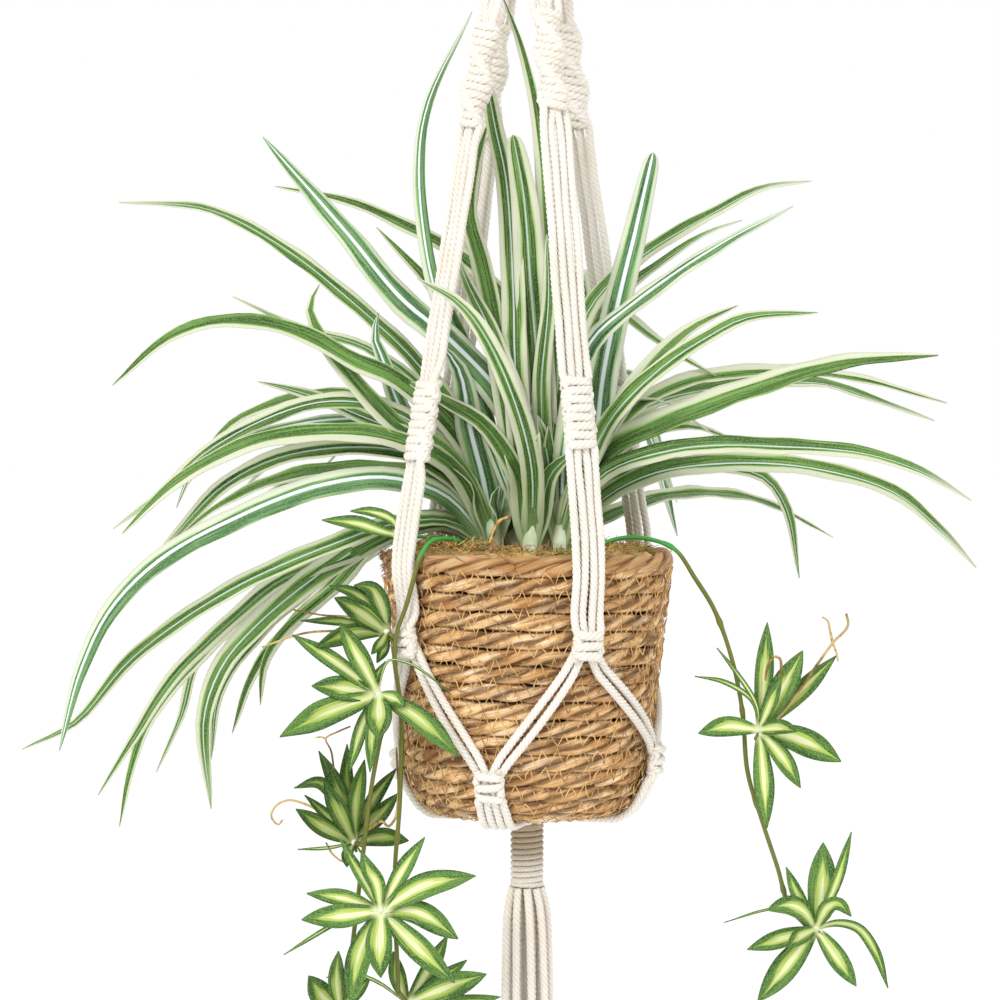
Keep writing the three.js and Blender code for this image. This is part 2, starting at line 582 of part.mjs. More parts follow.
// Each meeting of cords is knotted, and its four cords go on under the basket to the middle.
const underneath = -BASKET.height - GAP - CORD / 2;
for (const [name, join] of Object.entries(JOINS)) {
  const spots = [];
  const knot = { high: join.height + 8.5, low: join.height - 8.5 };
  const stops = [[knot.high, 7.6, 3.9], [join.height, 8.8, 4.8], [knot.low, 7.6, 4.2]];
  for (let k = 1; k <= 4; k++) {
    const turn = THREE.MathUtils.lerp(footAngle(knot.low), 82 * DEG, k / 4);
    stops.push([BASKET.waistHeight - drop * Math.sin(turn), BAND, CORD / 2]);
  }
  for (const [z, wide, thick] of stops) {
    const skin = basketSkin(join.way, z);
    spots.push([skin.at.addScaledVector(skin.out, thick + 2 * GAP), skin.out, wide, thick]);
  }
  const down = v3(0, 0, -1);
  spots.push([polar(BASKET.foot + 1, join.way, underneath), down, BAND, CORD / 2]);
  spots.push([polar(16.25, join.way, underneath - 0.6), down, BAND - 0.4, CORD / 2]);
  const across = polar(1, join.way + 90, 0);
  const rings = spots.map(([at, out, wide, thick]) => ringOf(at, across, out, wide, thick));
  node("join_" + name, loft(rings), COLOURS.cotton, 0.9);
}

// A cord wound round and round
function winding({ low, high, radius }, inside) {
  const turns = Math.floor((high - low) / CORD);
  const pitch = (high - low) / turns;
  const profile = [[inside, low]];
  for (let k = 0; k < turns; k++) {
    profile.push([radius - 0.9, low + (k + 0.12) * pitch], [radius, low + (k + 0.5) * pitch]);
  }
  profile.push([radius - 0.9, high], [inside, high], [inside, low]);
  return lathe(profile, 12);
}
node("gather_wrap", winding(GATHER_WRAP, NECK + GAP), COLOURS.cotton, 0.9);
node("top_wrap", winding(TOP_WRAP, NECK + GAP), COLOURS.cotton, 0.9);
const core = [
  [0, GATHER_WRAP.low], [NECK, GATHER_WRAP.low], [NECK, GATHER_WRAP.high + 0.4], [9.5, -156.9],
  [14.5, -154.5], [16, -151.5], [13, -148.9], [0, -148.9],
];
node("gather_core", lathe(core, 12), COLOURS.cotton, 0.9);

// Over the ring the cords are folded, two deep and four wide, and bound below it.
{
  const bar = RING_HEIGHT - RING_RADIUS;
  const fold = RING_BAR + GAP + CORD;
  const sideways = v3(1, 0, 0);
  const rings = [];
  const drape = [[-3.2, TOP_WRAP.high + 1.4], [-7, TOP_WRAP.high + 7]];
  for (let k = 0; k <= 6; k++) {
    const turn = (180 - 30 * k) * DEG;
    drape.push([fold * Math.cos(turn), bar + fold * Math.sin(turn)]);
  }
  drape.push([7, TOP_WRAP.high + 7], [3.2, TOP_WRAP.high + 1.4]);
  const spots = drape.map(([y, z]) => v3(0, y, z));
  spots.forEach((spot, k) => {
    const next = spots[Math.min(k + 1, spots.length - 1)];
    const along = next.clone().sub(spots[Math.max(k - 1, 0)]).normalize();
    const out = along.clone().cross(sideways);
    const end = k === 0 || k === spots.length - 1;
    rings.push(ringOf(spot, sideways, out, end ? 5 : BAND, end ? 2 : CORD - 0.2));
  });
  const flare = [
    [0, LEGS_TOP + GAP], [17.5, LEGS_TOP + GAP], [14, LEGS_TOP + 22], [9.5, LEGS_TOP + 46],
    [NECK, TOP_WRAP.low - 4], [NECK, TOP_WRAP.high + 5], [0, TOP_WRAP.high + 5],
  ];
  const folded = fuse([solid(loft(rings)), solid(lathe(flare, 12))]);
  node("folded_cords", geometryOf(folded), COLOURS.cotton, 0.9);
  const ring = new THREE.TorusGeometry(RING_RADIUS, RING_BAR, 8, 22).rotateX(Math.PI / 2);
  node("hanging_ring", ring.translate(0, 0, RING_HEIGHT), COLOURS.wood, 0.6);
}

// Tassel: the sixteen cords' free ends
for (let k = 0; k < 16; k++) {
  const layer = k < 1 ? 0 : k < 6 ? 1 : 2;
  const way = [0, 72 * k, 36 * k + 18][layer];
  const [bound, loose] = [[0, 0], [4.55, 6.4], [8.45, 12.2]][layer];
  const points = [0, 0.3, 0.65, 1].map((share) => {
    const z = GATHER_WRAP.low - GAP - share * (TASSEL_LENGTH + 5 * Math.sin(2.4 * k));
    const out = THREE.MathUtils.lerp(bound, loose, Math.min(1, 2.2 * share)) + share * Math.sin(1.7 * k);
    return polar(layer ? out : 0, way + 8 * share * Math.sin(k), z);
  });
  node("tassel_" + String(k + 1).padStart(2, "0"), rod(points, TASSEL_CORD, 8, 3), COLOURS.cotton, 0.9);
}

export { root as default };
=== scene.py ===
import math
import random

import bmesh
import bpy
import numpy as np
from mathutils import Matrix, Vector


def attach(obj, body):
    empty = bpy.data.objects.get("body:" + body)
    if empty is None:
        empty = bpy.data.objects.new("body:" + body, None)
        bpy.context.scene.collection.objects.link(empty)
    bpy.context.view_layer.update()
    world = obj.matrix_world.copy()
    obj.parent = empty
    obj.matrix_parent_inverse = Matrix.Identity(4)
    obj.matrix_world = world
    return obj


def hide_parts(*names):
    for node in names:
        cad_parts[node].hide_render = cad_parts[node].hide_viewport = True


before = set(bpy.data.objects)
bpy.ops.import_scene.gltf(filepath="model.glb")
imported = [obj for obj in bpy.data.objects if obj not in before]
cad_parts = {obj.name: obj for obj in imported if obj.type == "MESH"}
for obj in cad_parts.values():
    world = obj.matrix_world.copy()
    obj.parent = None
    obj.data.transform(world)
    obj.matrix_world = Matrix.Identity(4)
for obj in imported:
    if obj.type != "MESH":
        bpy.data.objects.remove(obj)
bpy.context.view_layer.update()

# Camera: a long lens, level with the leaves, as the plant is looked at from the front.
# Everything is in metres, and the hook that the ring hangs on is at the origin.
RIM = Vector((0, 0, -0.517))  # the middle of the basket's rim
EYE = Vector((-15, -1900, 90))  # where the camera stands, in millimetres from there
front_camera = bpy.data.objects.new("front_camera", bpy.data.cameras.new("front_camera"))
front_camera.data.lens = 121.1
front_camera.data.clip_end = 60
front_camera.location = RIM + EYE / 1000
looked_at = RIM + Vector((-0.0153, 0, 0.02825))
front_camera.rotation_euler = (looked_at - front_camera.location).to_track_quat("-Z", "Y").to_euler()
bpy.context.collection.objects.link(front_camera)
bpy.context.scene.camera = front_camera

# Tassel: sixteen off-white cotton cords that hang loose below the gathering wrap.
# Each cord is laid from four strands of fine yarn, and its cut end has begun to open.
CORD = 0.0048  # diameter of a cord of the hanger's legs
CORD_TURN = 0.0125  # length in which a strand goes once round the cord
TASSEL_TOP = -0.1913  # height over the rim, as all heights below it
TASSEL_LENGTH = 0.165
TASSEL_DIAMETER = 0.0043
GROOVE_LOSS = 1.13  # the grooves between the strands make a cord this much thinner
# From the middle out: how many cords, the turn of the first in degrees, and how far from the
# axis they are bound and hang
TASSEL_LAYERS = [(1, 0, 0, 0), (5, 0, 0.00455, 0.0074), (10, 18, 0.00845, 0.0131)]
PARTED = {0: 0, 0.08: 0.6, 0.3: 0.9, 0.65: 1, 1: 1}  # how far they have parted, by share of length
TASSEL_TURN = 9  # degrees that all turn round the axis as they part
TASSEL_SWAY = 11  # degrees that each then sways its own way
UNEVEN = {"length": 0.005, "out": 0.001}  # how far cut ends differ


def smooth_path(points, step):
    """Evenly spaced places on a smooth curve through the given points."""
    stops = np.array([tuple(point) for point in points])
    stops = np.vstack([2 * stops[0] - stops[1], stops, 2 * stops[-1] - stops[-2]])
    share = np.linspace(0, 1, 16, endpoint=False)[:, None]
    fine = []
    for before, start, end, after in zip(stops, stops[1:], stops[2:], stops[3:]):
        gaps = [max(1e-5, np.linalg.norm(b - a)) ** 0.5
                for a, b in ((before, start), (start, end), (end, after))]
        first = (start - before) / gaps[0]
        middle = (end - start) / gaps[1]
        last = (after - end) / gaps[2]
        leave = first - (end - before) / (gaps[0] + gaps[1]) + middle
        reach = middle - (after - start) / (gaps[1] + gaps[2]) + last
        leave, reach = leave * gaps[1], reach * gaps[1]
        bend = 3 * (end - start) - 2 * leave - reach
        close = 2 * (start - end) + leave + reach
        fine.append(start + leave * share + bend * share**2 + close * share**3)
    fine = np.vstack([*fine, stops[-2:-1]])
    run = np.concatenate([[0], np.cumsum(np.linalg.norm(np.diff(fine, axis=0), axis=1))])
    even = np.linspace(0, run[-1], max(2, round(run[-1] / step) + 1))
    return np.stack([np.interp(even, run, fine[:, axis]) for axis in range(3)], axis=1)


def frames_along(path):
    """The way of travel at each place of a path, and two ways square to it that don't spin."""
    along = np.gradient(path, axis=0)
    along /= np.linalg.norm(along, axis=1)[:, None]
    side = np.cross(along[0], (0.31, 0.87, 0.39))
    sides = []
    for way in along:
        side = side - way * side.dot(way)
        side = side / np.linalg.norm(side)
        sides.append(side)
    return along, np.array(sides), np.cross(along, sides)


def start_sheet(along, across, *marks):
    """A small mesh of its own, a grid with a UV map: it, its places and a mark of each name, which
    each place can carry."""
    sheet = bmesh.new()
    sheet.loops.layers.uv.new("UVMap")
    marks = [sheet.verts.layers.float.new(name) for name in marks]
    grid = bmesh.ops.create_grid(sheet, x_segments=along, y_segments=across, size=1, calc_uvs=True)
    return sheet, grid["verts"], *marks


def join_to(mesh, part):
    """Moves a small mesh into a larger one."""
    data = bpy.data.meshes.new("part")
    part.to_mesh(data)
    part.free()
    mesh.from_mesh(data)
    bpy.data.meshes.remove(data)


def lay_cord(mesh, path, radius, turn=CORD_TURN, strands=4, groove=0.17, start=0.0, heart=None, down=0):
    """Adds a cord of twisted strands along an evenly spaced path. The radius may vary along it.
    Where it turns round a heart line, each place is marked with how far out from that it lies,
    and with how far up or down from it."""
    rings, corners = len(path), 2 * strands
    cord, spots, groove_mark, run_mark, out_mark, edge_mark, strand_mark = start_sheet(
        rings - 1, corners, "groove", "run", "out", "edge", "strand")
    radius = np.broadcast_to(radius, rings)
    side, up = frames_along(path)[1:]
    run = np.concatenate([[0], np.cumsum(np.linalg.norm(np.diff(path, axis=0), axis=1))])
    for k in range(corners + 1):
        angle = start + math.pi * k / strands - 2 * math.pi * run / turn
        reach = radius * (1 - groove * (k % 2))
        places = path + (side * np.cos(angle)[:, None] + up * np.sin(angle)[:, None]) * reach[:, None]
        away = 0 * places if heart is None else places - heart
        out, edge = np.linalg.norm(away, axis=1), np.abs(np.sum(away * down, axis=1))
        for i in range(rings):
            spot = spots[k * rings + i]
            spot.co = places[i]
            spot[groove_mark] = k % 2
            spot[run_mark] = run[i]
            spot[out_mark] = out[i]
            spot[edge_mark] = edge[i]
            spot[strand_mark] = start
    seam = spots[:rings] + spots[corners * rings:]
    bmesh.ops.remove_doubles(cord, verts=seam, dist=1e-7)
    join_to(mesh, cord)


def finish_piece(name, mesh, *finishes, closed=True):
    """Makes an object of a mesh, with its holes closed and its faces outward."""
    if closed:
        bmesh.ops.holes_fill(mesh, edges=[edge for edge in mesh.edges if edge.is_boundary])
        bmesh.ops.recalc_face_normals(mesh, faces=mesh.faces)
    data = bpy.data.meshes.new(name)
    mesh.to_mesh(data)
    mesh.free()
    for finish in finishes:
        data.materials.append(finish)
    data.shade_smooth()
    piece = bpy.data.objects.new(name, data)
    bpy.context.collection.objects.link(piece)
    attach(piece, "root")
    return piece


def tint(red, green, blue):
    """A colour from its screen values, 0 to 255."""
    return (*[((part / 255 + 0.055) / 1.055) ** 2.4 for part in (red, green, blue)], 1)


def feed(tree, socket, value):
    """Links or sets one input."""
    if isinstance(value, bpy.types.NodeSocket):
        tree.links.new(value, socket)
    else:
        socket.default_value = value


def put(tree, kind, inputs=None, **settings):
    """Adds a shader node with its settings and inputs."""
    made = tree.nodes.new("ShaderNode" + kind)
    for setting, value in settings.items():
        setattr(made, setting, value)
    for name, value in (inputs or {}).items():
        feed(tree, made.inputs[name], value)
    return made


def calc(tree, operation, *values):
    """One sum on shader values."""
    made = put(tree, "Math", operation=operation)
    for socket, value in zip(made.inputs, values):
        feed(tree, socket, value)
    return made.outputs[0]


def times(tree, first, second):
    return calc(tree, "MULTIPLY", first, second)


def blend(tree, share, first, second, way="MIX"):
    """The first colour, and as much of the second over it as the share says."""
    made = put(tree, "Mix", data_type="RGBA", blend_type=way)
    for index, value in ((0, share), (6, first), (7, second)):
        feed(tree, made.inputs[index], value)
    return made.outputs[2]


def rise(tree, value, low, high):
    """Goes smoothly from 0 at low to 1 at high."""
    inputs = {"Value": value, "From Min": low, "From Max": high}
    return put(tree, "MapRange", inputs, interpolation_type="SMOOTHSTEP").outputs[0]


def attribute(tree, name):
    """A mark that the mesh carries on its places."""
    return put(tree, "Attribute", attribute_name=name).outputs["Fac"]


def height_in(tree):
    """The height of each spot of a piece."""
    place = put(tree, "TexCoord").outputs["Object"]
    return put(tree, "SeparateXYZ", {0: place}).outputs["Z"]


def unrolled(tree):
    """Each spot's place on a cord or a leaf laid flat: X along it and Y across or round it."""
    return put(tree, "SeparateXYZ", {0: put(tree, "UVMap").outputs[0]}).outputs


def speckle(tree, scale, detail=3.0, place=None):
    """Noise, 0 to 1, in the piece's own coordinates."""
    place = place or put(tree, "TexCoord").outputs["Object"]
    return put(tree, "TexNoise", {"Vector": place, "Scale": scale, "Detail": detail}).outputs["Fac"]


def new_effect(name, inputs, outputs):
    """A node group, with its inputs' defaults, and the sockets that its result goes into."""
    tree = bpy.data.node_groups.new(name, "ShaderNodeTree")
    for label, value in inputs.items():
        socket = tree.interface.new_socket(label, in_out="INPUT", socket_type="NodeSocketFloat")
        socket.default_value = value
    for label in outputs:
        tree.interface.new_socket(label, in_out="OUTPUT", socket_type="NodeSocketFloat")
    given = tree.nodes.new("NodeGroupInput").outputs
    result = tree.nodes.new("NodeGroupOutput").inputs
    return tree, given, result


def use_effect(tree, effect, **inputs):
    """Adds a node group to a material, and returns its results."""
    made = tree.nodes.new("ShaderNodeGroup")
    made.node_tree = effect
    for name, value in inputs.items():
        feed(tree, made.inputs[name.replace("_", " ")], value)
    return made.outputs


def new_finish(name, roughness=0.8, **constants):
    """A material's tree and its shader, whose constant values are set on its own sockets."""
    material = bpy.data.materials.new(name)
    material.use_nodes = True
    tree = material.node_tree
    shader = tree.nodes["Principled BSDF"]
    shader.inputs["Roughness"].default_value = roughness
    for label, value in constants.items():
        shader.inputs[label.replace("_", " ")].default_value = value
    return material, tree, shader


def emboss(tree, shader, height, distance, strength=1.0):
    """Raises a material's surface by a height of 0 to 1, as a bump."""
    bump = put(tree, "Bump", {"Height": height, "Distance": distance, "Strength": strength})
    tree.links.new(bump.outputs["Normal"], shader.inputs["Normal"])


# Fibres along a twisted strand: fine lines that lean from its lay, and the groove between strands.
fibre_lines, given, result = new_effect(
    "fibre_lines", {"Count": 26.0, "Lean": 80.0, "Roughening": 0.5}, ["Groove", "Lines", "Height"])
around = unrolled(fibre_lines)["Y"]
turned = times(fibre_lines, attribute(fibre_lines, "run"), given["Lean"])
phase = times(fibre_lines, calc(fibre_lines, "SUBTRACT", around, turned), given["Count"])
wander = times(fibre_lines, speckle(fibre_lines, 260.0), given["Roughening"])
wave = times(fibre_lines, calc(fibre_lines, "ADD", phase, wander), 2 * math.pi)
wave = calc(fibre_lines, "SINE", wave)
lines = calc(fibre_lines, "MULTIPLY_ADD", wave, 0.5, 0.5)
groove = rise(fibre_lines, attribute(fibre_lines, "groove"), 0.35, 1.0)
feed(fibre_lines, result["Groove"], groove)
feed(fibre_lines, result["Lines"], lines)
raised = times(fibre_lines, lines, 0.5)
feed(fibre_lines, result["Height"], calc(fibre_lines, "SUBTRACT", raised, groove))


def new_cotton(name, painted_shade=None):
    """The off-white of the hanger's cotton, a little soiled, with painted shade in its grooves. A
    painted shadow darkens it more and more from one height over the rim up to another."""
    finish, tree, shader = new_finish(name, roughness=0.95, Sheen_Weight=0.25, Specular_IOR_Level=0.2)
    yarn = use_effect(tree, fibre_lines)
    soiling = rise(tree, speckle(tree, 24.0, 4.0), 0.35, 0.75)
    colour = blend(tree, soiling, tint(242, 237, 229), tint(234, 227, 215))
    colour = blend(tree, times(tree, yarn["Lines"], 0.12), colour, tint(205, 192, 171))
    # Painted shade in the grooves between the strands
    colour = blend(tree, times(tree, yarn["Groove"], 0.36), colour, tint(192, 172, 146))
    # Painted shadow of the basket: darker and darker up towards its bottom
    if painted_shade:
        painted_shadow = rise(tree, height_in(tree), RIM.z + painted_shade[0], RIM.z + painted_shade[1])
        colour = blend(tree, painted_shadow, colour, tint(202, 190, 168), "MULTIPLY")
    feed(tree, shader.inputs["Base Color"], colour)
    emboss(tree, shader, yarn["Height"], 0.00035, 0.7)
    return finish


cotton = new_cotton("cotton_cord")


def polar(radius, way, z):
    """A place by its distance from the basket's axis, its way in degrees and its height over
    the rim."""
    turn = math.radians(way)
    return Vector((radius * math.cos(turn), radius * math.sin(turn), z)) + RIM


# Below the wrap the cords part, turn a little round the axis and hang down side by side
for k in range(16):
    count, first, bound, loose = TASSEL_LAYERS[0 if k < 1 else 1 if k < 6 else 2]
    way = 360 / count * k + first
    length = TASSEL_LENGTH + UNEVEN["length"] * math.sin(2.4 * k)
    hang = []
    for share, parted in PARTED.items():
        out = bound + (loose - bound) * parted + UNEVEN["out"] * share * math.sin(1.7 * k)
        turned = way + TASSEL_TURN * parted + TASSEL_SWAY * share * math.sin(k)
        hang.append(polar(out, turned, TASSEL_TOP - share * length))
    path = smooth_path(hang, 0.0013)
    # Its last nine places open up
    opening = 1 + 0.16 * np.clip((np.arange(len(path)) - len(path) + 9) / 9, 0, 1)
    mesh = bmesh.new()
    lay_cord(mesh, path, GROOVE_LOSS * TASSEL_DIAMETER / 2 * opening, start=k)
    strand = finish_piece(f"tassel_cord_{k + 1:02d}", mesh, cotton)
    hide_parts(f"tassel_{k + 1:02d}")

# Gathering wrap: one thin cord wound tightly round all sixteen, under the basket.
# The cords come in from below the basket and go on down as the tassel.
GATHER_WRAP = {"low": -0.191, "high": -0.1545, "radius": 0.0096, "cord": 0.0033}


def wind_cord(mesh, low, high, radius, cord):
    """Winds a cord round the axis, from low to high, its outside at the radius. The first and
    last turns lie level."""
    places = 12  # in each turn
    turns = round((high - low) / cord) + 1
    points = []
    for k in range(places * turns + 1):
        share = min(1, max(0, (k - places + 1) / (places * (turns - 2) + 2)))
        z = low + cord / 2 + (high - low - cord) * share
        points.append(polar(radius - cord / 2, 360 / places * k, z))
    lay_cord(mesh, smooth_path(points, 0.0012), cord / 2, turn=0.0085, groove=0.15)


# The wrap and the bundle carry the basket's painted shadow, darkest at their top
cotton_with_painted_shadow = new_cotton("painted_shadow_cotton", painted_shade=(-0.186, -0.166))
mesh = bmesh.new()
wind_cord(mesh, **GATHER_WRAP)
wrap = finish_piece("gathering_wrap", mesh, cotton_with_painted_shadow)
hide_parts("gather_wrap")

# Inside the wrap the cords are pressed into one round bundle, and they flare out above it.
mesh = bmesh.new()
# Its outline: radius and height
bundle = [(0, -0.1905), (0.0074, -0.1905), (0.0074, -0.1560), (0.009, -0.1540), (0.0115, -0.1528),
          (0.0125, -0.1512), (0, -0.1507)]
start = [mesh.verts.new(polar(radius, 0, z)) for radius, z in bundle]
edges = [mesh.edges.new(pair) for pair in zip(start, start[1:])]
bmesh.ops.spin(mesh, geom=start + edges, cent=RIM, axis=(0, 0, 1),
               angle=2 * math.pi, steps=32, use_merge=True)
bmesh.ops.remove_doubles(mesh, verts=mesh.verts, dist=1e-6)
core = finish_piece("gathered_bundle", mesh, cotton_with_painted_shadow)
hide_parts("gather_core")

# Ring: turned pale wood, a plain torus that hangs on the hook.
RING = {"middle": -0.020, "radius": 0.0235, "bar": 0.0035}
wood, tree, shader = new_finish("turned_wood", roughness=0.5, Coat_Weight=0.15)
place = put(tree, "TexCoord").outputs["Object"]
stretched = put(tree, "Mapping", {"Vector": place, "Scale": (1, 6, 1)}).outputs[0]
wave_inputs = {"Vector": stretched, "Scale": 260.0, "Distortion": 5.0, "Detail": 3.0}
grain = put(tree, "TexWave", wave_inputs).outputs["Fac"]
colour = blend(tree, grain, tint(214, 176, 128), tint(190, 146, 98))
colour = blend(tree, rise(tree, speckle(tree, 60.0), 0.4, 0.8), colour, tint(226, 194, 150))
feed(tree, shader.inputs["Base Color"], colour)
emboss(tree, shader, grain, 0.0001, 0.4)

mesh = bmesh.new()
mesh.loops.layers.uv.new("UVMap")
middle = Vector((0, 0, RING["middle"]))
bmesh.ops.create_circle(mesh, segments=20, radius=RING["bar"],
                        matrix=Matrix.Translation(middle + Vector((RING["radius"], 0, 0))))
bmesh.ops.spin(mesh, geom=mesh.verts[:] + mesh.edges[:], cent=middle, axis=(0, 1, 0),
               angle=2 * math.pi, steps=72, use_merge=True)
bmesh.ops.remove_doubles(mesh, verts=mesh.verts, dist=1e-6)
ring = finish_piece("wooden_ring", mesh, wood)
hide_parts("hanging_ring")

# Top: eight cords folded over the ring, four wide and two deep, bound by a thin cord below it.
TOP_WRAP = {"low": 0.426, "high": 0.462, "radius": 0.0108, "cord": 0.0033}
BAR_HEIGHT = 0.4735  # middle of the ring's bar, over the rim
FOLDED_CORD = 0.0047  # its diameter
FOLDS = (0.0062, 0.0108)  # how far the two layers lie from the middle of the bar
mesh = bmesh.new()
for layer, fold in enumerate(FOLDS):
    for column in range(4):
        wide = (column - 1.5) * FOLDED_CORD
        tight = 0.0022 + 0.003 * layer
        points = [(0.55 * wide, -tight, 0.452), (0.6 * wide, -tight, 0.4605),
                  (0.9 * wide, -tight - 0.0022, 0.467)]
        for k in range(9):
            turn = math.pi * (1 - k / 8)
            points.append((wide, fold * math.cos(turn), BAR_HEIGHT + fold * math.sin(turn)))
        points += [(x, -y, z) for x, y, z in points[2::-1]]
        path = smooth_path([RIM + Vector(point) for point in points], 0.0013)
        lay_cord(mesh, path, FOLDED_CORD / 2, start=column)
fold = finish_piece("cords_over_ring", mesh, cotton)
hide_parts("folded_cords")

mesh = bmesh.new()
wind_cord(mesh, **TOP_WRAP)
binding = finish_piece("top_binding", mesh, cotton)
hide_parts("top_wrap")

# Legs: four legs of four cords. Each has a run of half knots, which spirals, then a run of
# square knots, and a last square knot that lies on the basket. Two cords tie, two run through.
# On gapped legs the two that run through lie one behind the other, with gaps beside them.
LEGS = {
    "front_right": {"way": -67, "spiral": (0.299, 0.248), "square": (0.095, 0.061), "gapped": False},
    "back_right": {"way": 39, "spiral": (0.296, 0.242), "square": (0.091, 0.058), "gapped": True},
    "back_left": {"way": 127, "spiral": (0.296, 0.236), "square": (0.070, 0.044), "gapped": True},
    "front_left": {"way": 216, "spiral": (0.293, 0.239), "square": (0.093, 0.054), "gapped": False},
}
LEG_RADIUS = 0.0854  # of the legs at the rim
SPIRAL_KNOT = {"half": 0.0066, "depth": 0.0036}  # half a knot's width, and how far it stands out
SQUARE_KNOT = {"half": 0.0068, "front": 0.0040, "back": 0.0040}
LAST_KNOT = {"half": 0.0064, "front": 0.0038, "back": 0.0016}
LAST_ROWS = (-0.0430, -0.0485, -0.0540)  # its heights
LAST_SPAN = (-0.0425, -0.0630)  # where it spreads its cords
LAST_LIFT = 0.0028  # how much further out it lies than a loose cord
LOOSE_END = -0.0325  # where the cords above it end their plain run
LOOSE_EASE = 0.012  # from the end of any other plain run to the knot beside it
ONE_KNOT, TWO_KNOTS = 0.0055, 0.0095  # heights of a single knot and of a packed pair
TYING = {0: 0, 3: 1}  # which of four cords tie a knot, and which course each takes in it
SIDE_BY_SIDE = [(cord - 1.5) * (CORD + 0.0001) for cord in range(4)]  # where the four lie
ON_SKIN = CORD / 2 + 0.0008  # from the basket's skin to the middle of a cord on it
STRAY = 0.0004  # how far a loose cord strays from its line
CORD_STEP = 0.00125  # between places along a cord
PLAIN_STEP = 0.022  # between the places that a loose cord is led through
BASKET = {"rim": 0.0825, "waist": 0.070, "waist_height": -0.106, "foot": 0.050, "height": 0.1475}
FOOT_DROP = BASKET["height"] + BASKET["waist_height"]


def basket_radius(z):
    """The basket's outer radius at a height: a slight taper, then a rounded foot."""
    low, waist, foot = BASKET["waist_height"], BASKET["waist"], BASKET["foot"]
    if z > low:
        return BASKET["rim"] + (waist - BASKET["rim"]) * z / low
    fall = (low - z) / FOOT_DROP
    return foot + (waist - foot) * math.sqrt(max(0, 1 - fall * fall))


def foot_turn(z):
    """How far the skin has turned under at a height, up to a quarter turn at the bottom."""
    return math.asin(min(1, max(0, (BASKET["waist_height"] - z) / FOOT_DROP)))


def on_basket(way, z, lift):
    """A place above the basket's skin, and the way out from the skin there."""
    turn = foot_turn(z)
    level = math.cos(turn) / (BASKET["waist"] - BASKET["foot"])
    out = Vector((level, 0, -math.sin(turn) / FOOT_DROP)).normalized()
    out = Vector((out.x * math.cos(math.radians(way)), out.x * math.sin(math.radians(way)), out.z))
    return polar(basket_radius(z), way, z) + out * lift, out


def knot_heights(high, low):
    """Heights of a run of knots, packed close. Their number is even, so each cord ends on its
    own side."""
    return list(np.linspace(high, low, 2 * round((high - low + ONE_KNOT) / TWO_KNOTS)))


def square_knots(heights, half, front, back):
    """The courses of the two tying cords, as places across, out and up: the first crosses in
    front of the cords that run through, and the second behind them."""
    first, second, side = [], [], -1
    for z in heights:
        first += [(side * half, 0, z + 0.0014), (0.75 * side * half, 0.8 * front, z + 0.0004),
                  (0, front, z), (-0.75 * side * half, 0.8 * front, z - 0.0004),
                  (-side * half, 0, z - 0.0014)]
        second += [(-side * half, 0.55 * front, z + 0.0022),
                   (-0.95 * side * half, -0.3 * back, z + 0.0012), (0, -back, z),
                   (0.95 * side * half, -0.3 * back, z - 0.0012),
                   (side * half, 0.55 * front, z - 0.0022)]
        side = -side
    return first, second


def half_knots(heights, half, depth):
    """The same for knots that are all tied the same way round, so that the run spirals."""
    first, high, run, front = [], heights[0], heights[0] - heights[-1], 1
    for z in heights:
        for share in (-1, -0.7, 0, 0.7, 1):
            height = z - 0.0012 * share
            turn = 2 * math.pi * (high - height) / run
            across, out = front * share * half, front * depth * (1 - share**4)
            first.append((across * math.cos(turn) + out * math.sin(turn),
                          out * math.cos(turn) - across * math.sin(turn), height))
        front = -front
    return first, [(-across, -out, height) for across, out, height in first]


def plain_run(high, low):
    """Heights down a stretch of loose cord."""
    count = max(1, round((high - low) / PLAIN_STEP))
    return [high + (low - high) * k / count for k in range(count + 1)]


def knot_swell(path, leg):
    """The cords spread a little where they are pressed into knots."""
    height, swell = path[:, 2] - RIM.z, np.zeros(len(path))
    for high, deep in (leg["spiral"], leg["square"], LAST_SPAN):
        swell += np.clip(np.minimum(high + 0.002 - height, height - deep + 0.002) / 0.003, 0, 1)
    return CORD / 2 * (1 + 0.19 * swell)


def sideways(way):
    """The level direction that is square to a way."""
    turn = math.radians(way + 90)
    return Vector((math.cos(turn), math.sin(turn), 0))


def leg_place(way, across, out, z):
    """A place on a leg. Above the spiral the four cords draw together into the binding."""
    narrow = float(np.interp(z, (0.345, 0.428), (1, 0.36)))
    if z > 0:
        away = float(np.interp(z, (0, 0.360, 0.428, 0.462), (LEG_RADIUS, 0.0149, 0.0056, 0.0048)))
    else:
        away = basket_radius(z) + ON_SKIN
    return polar(away + out, way, z) + sideways(way) * across * narrow


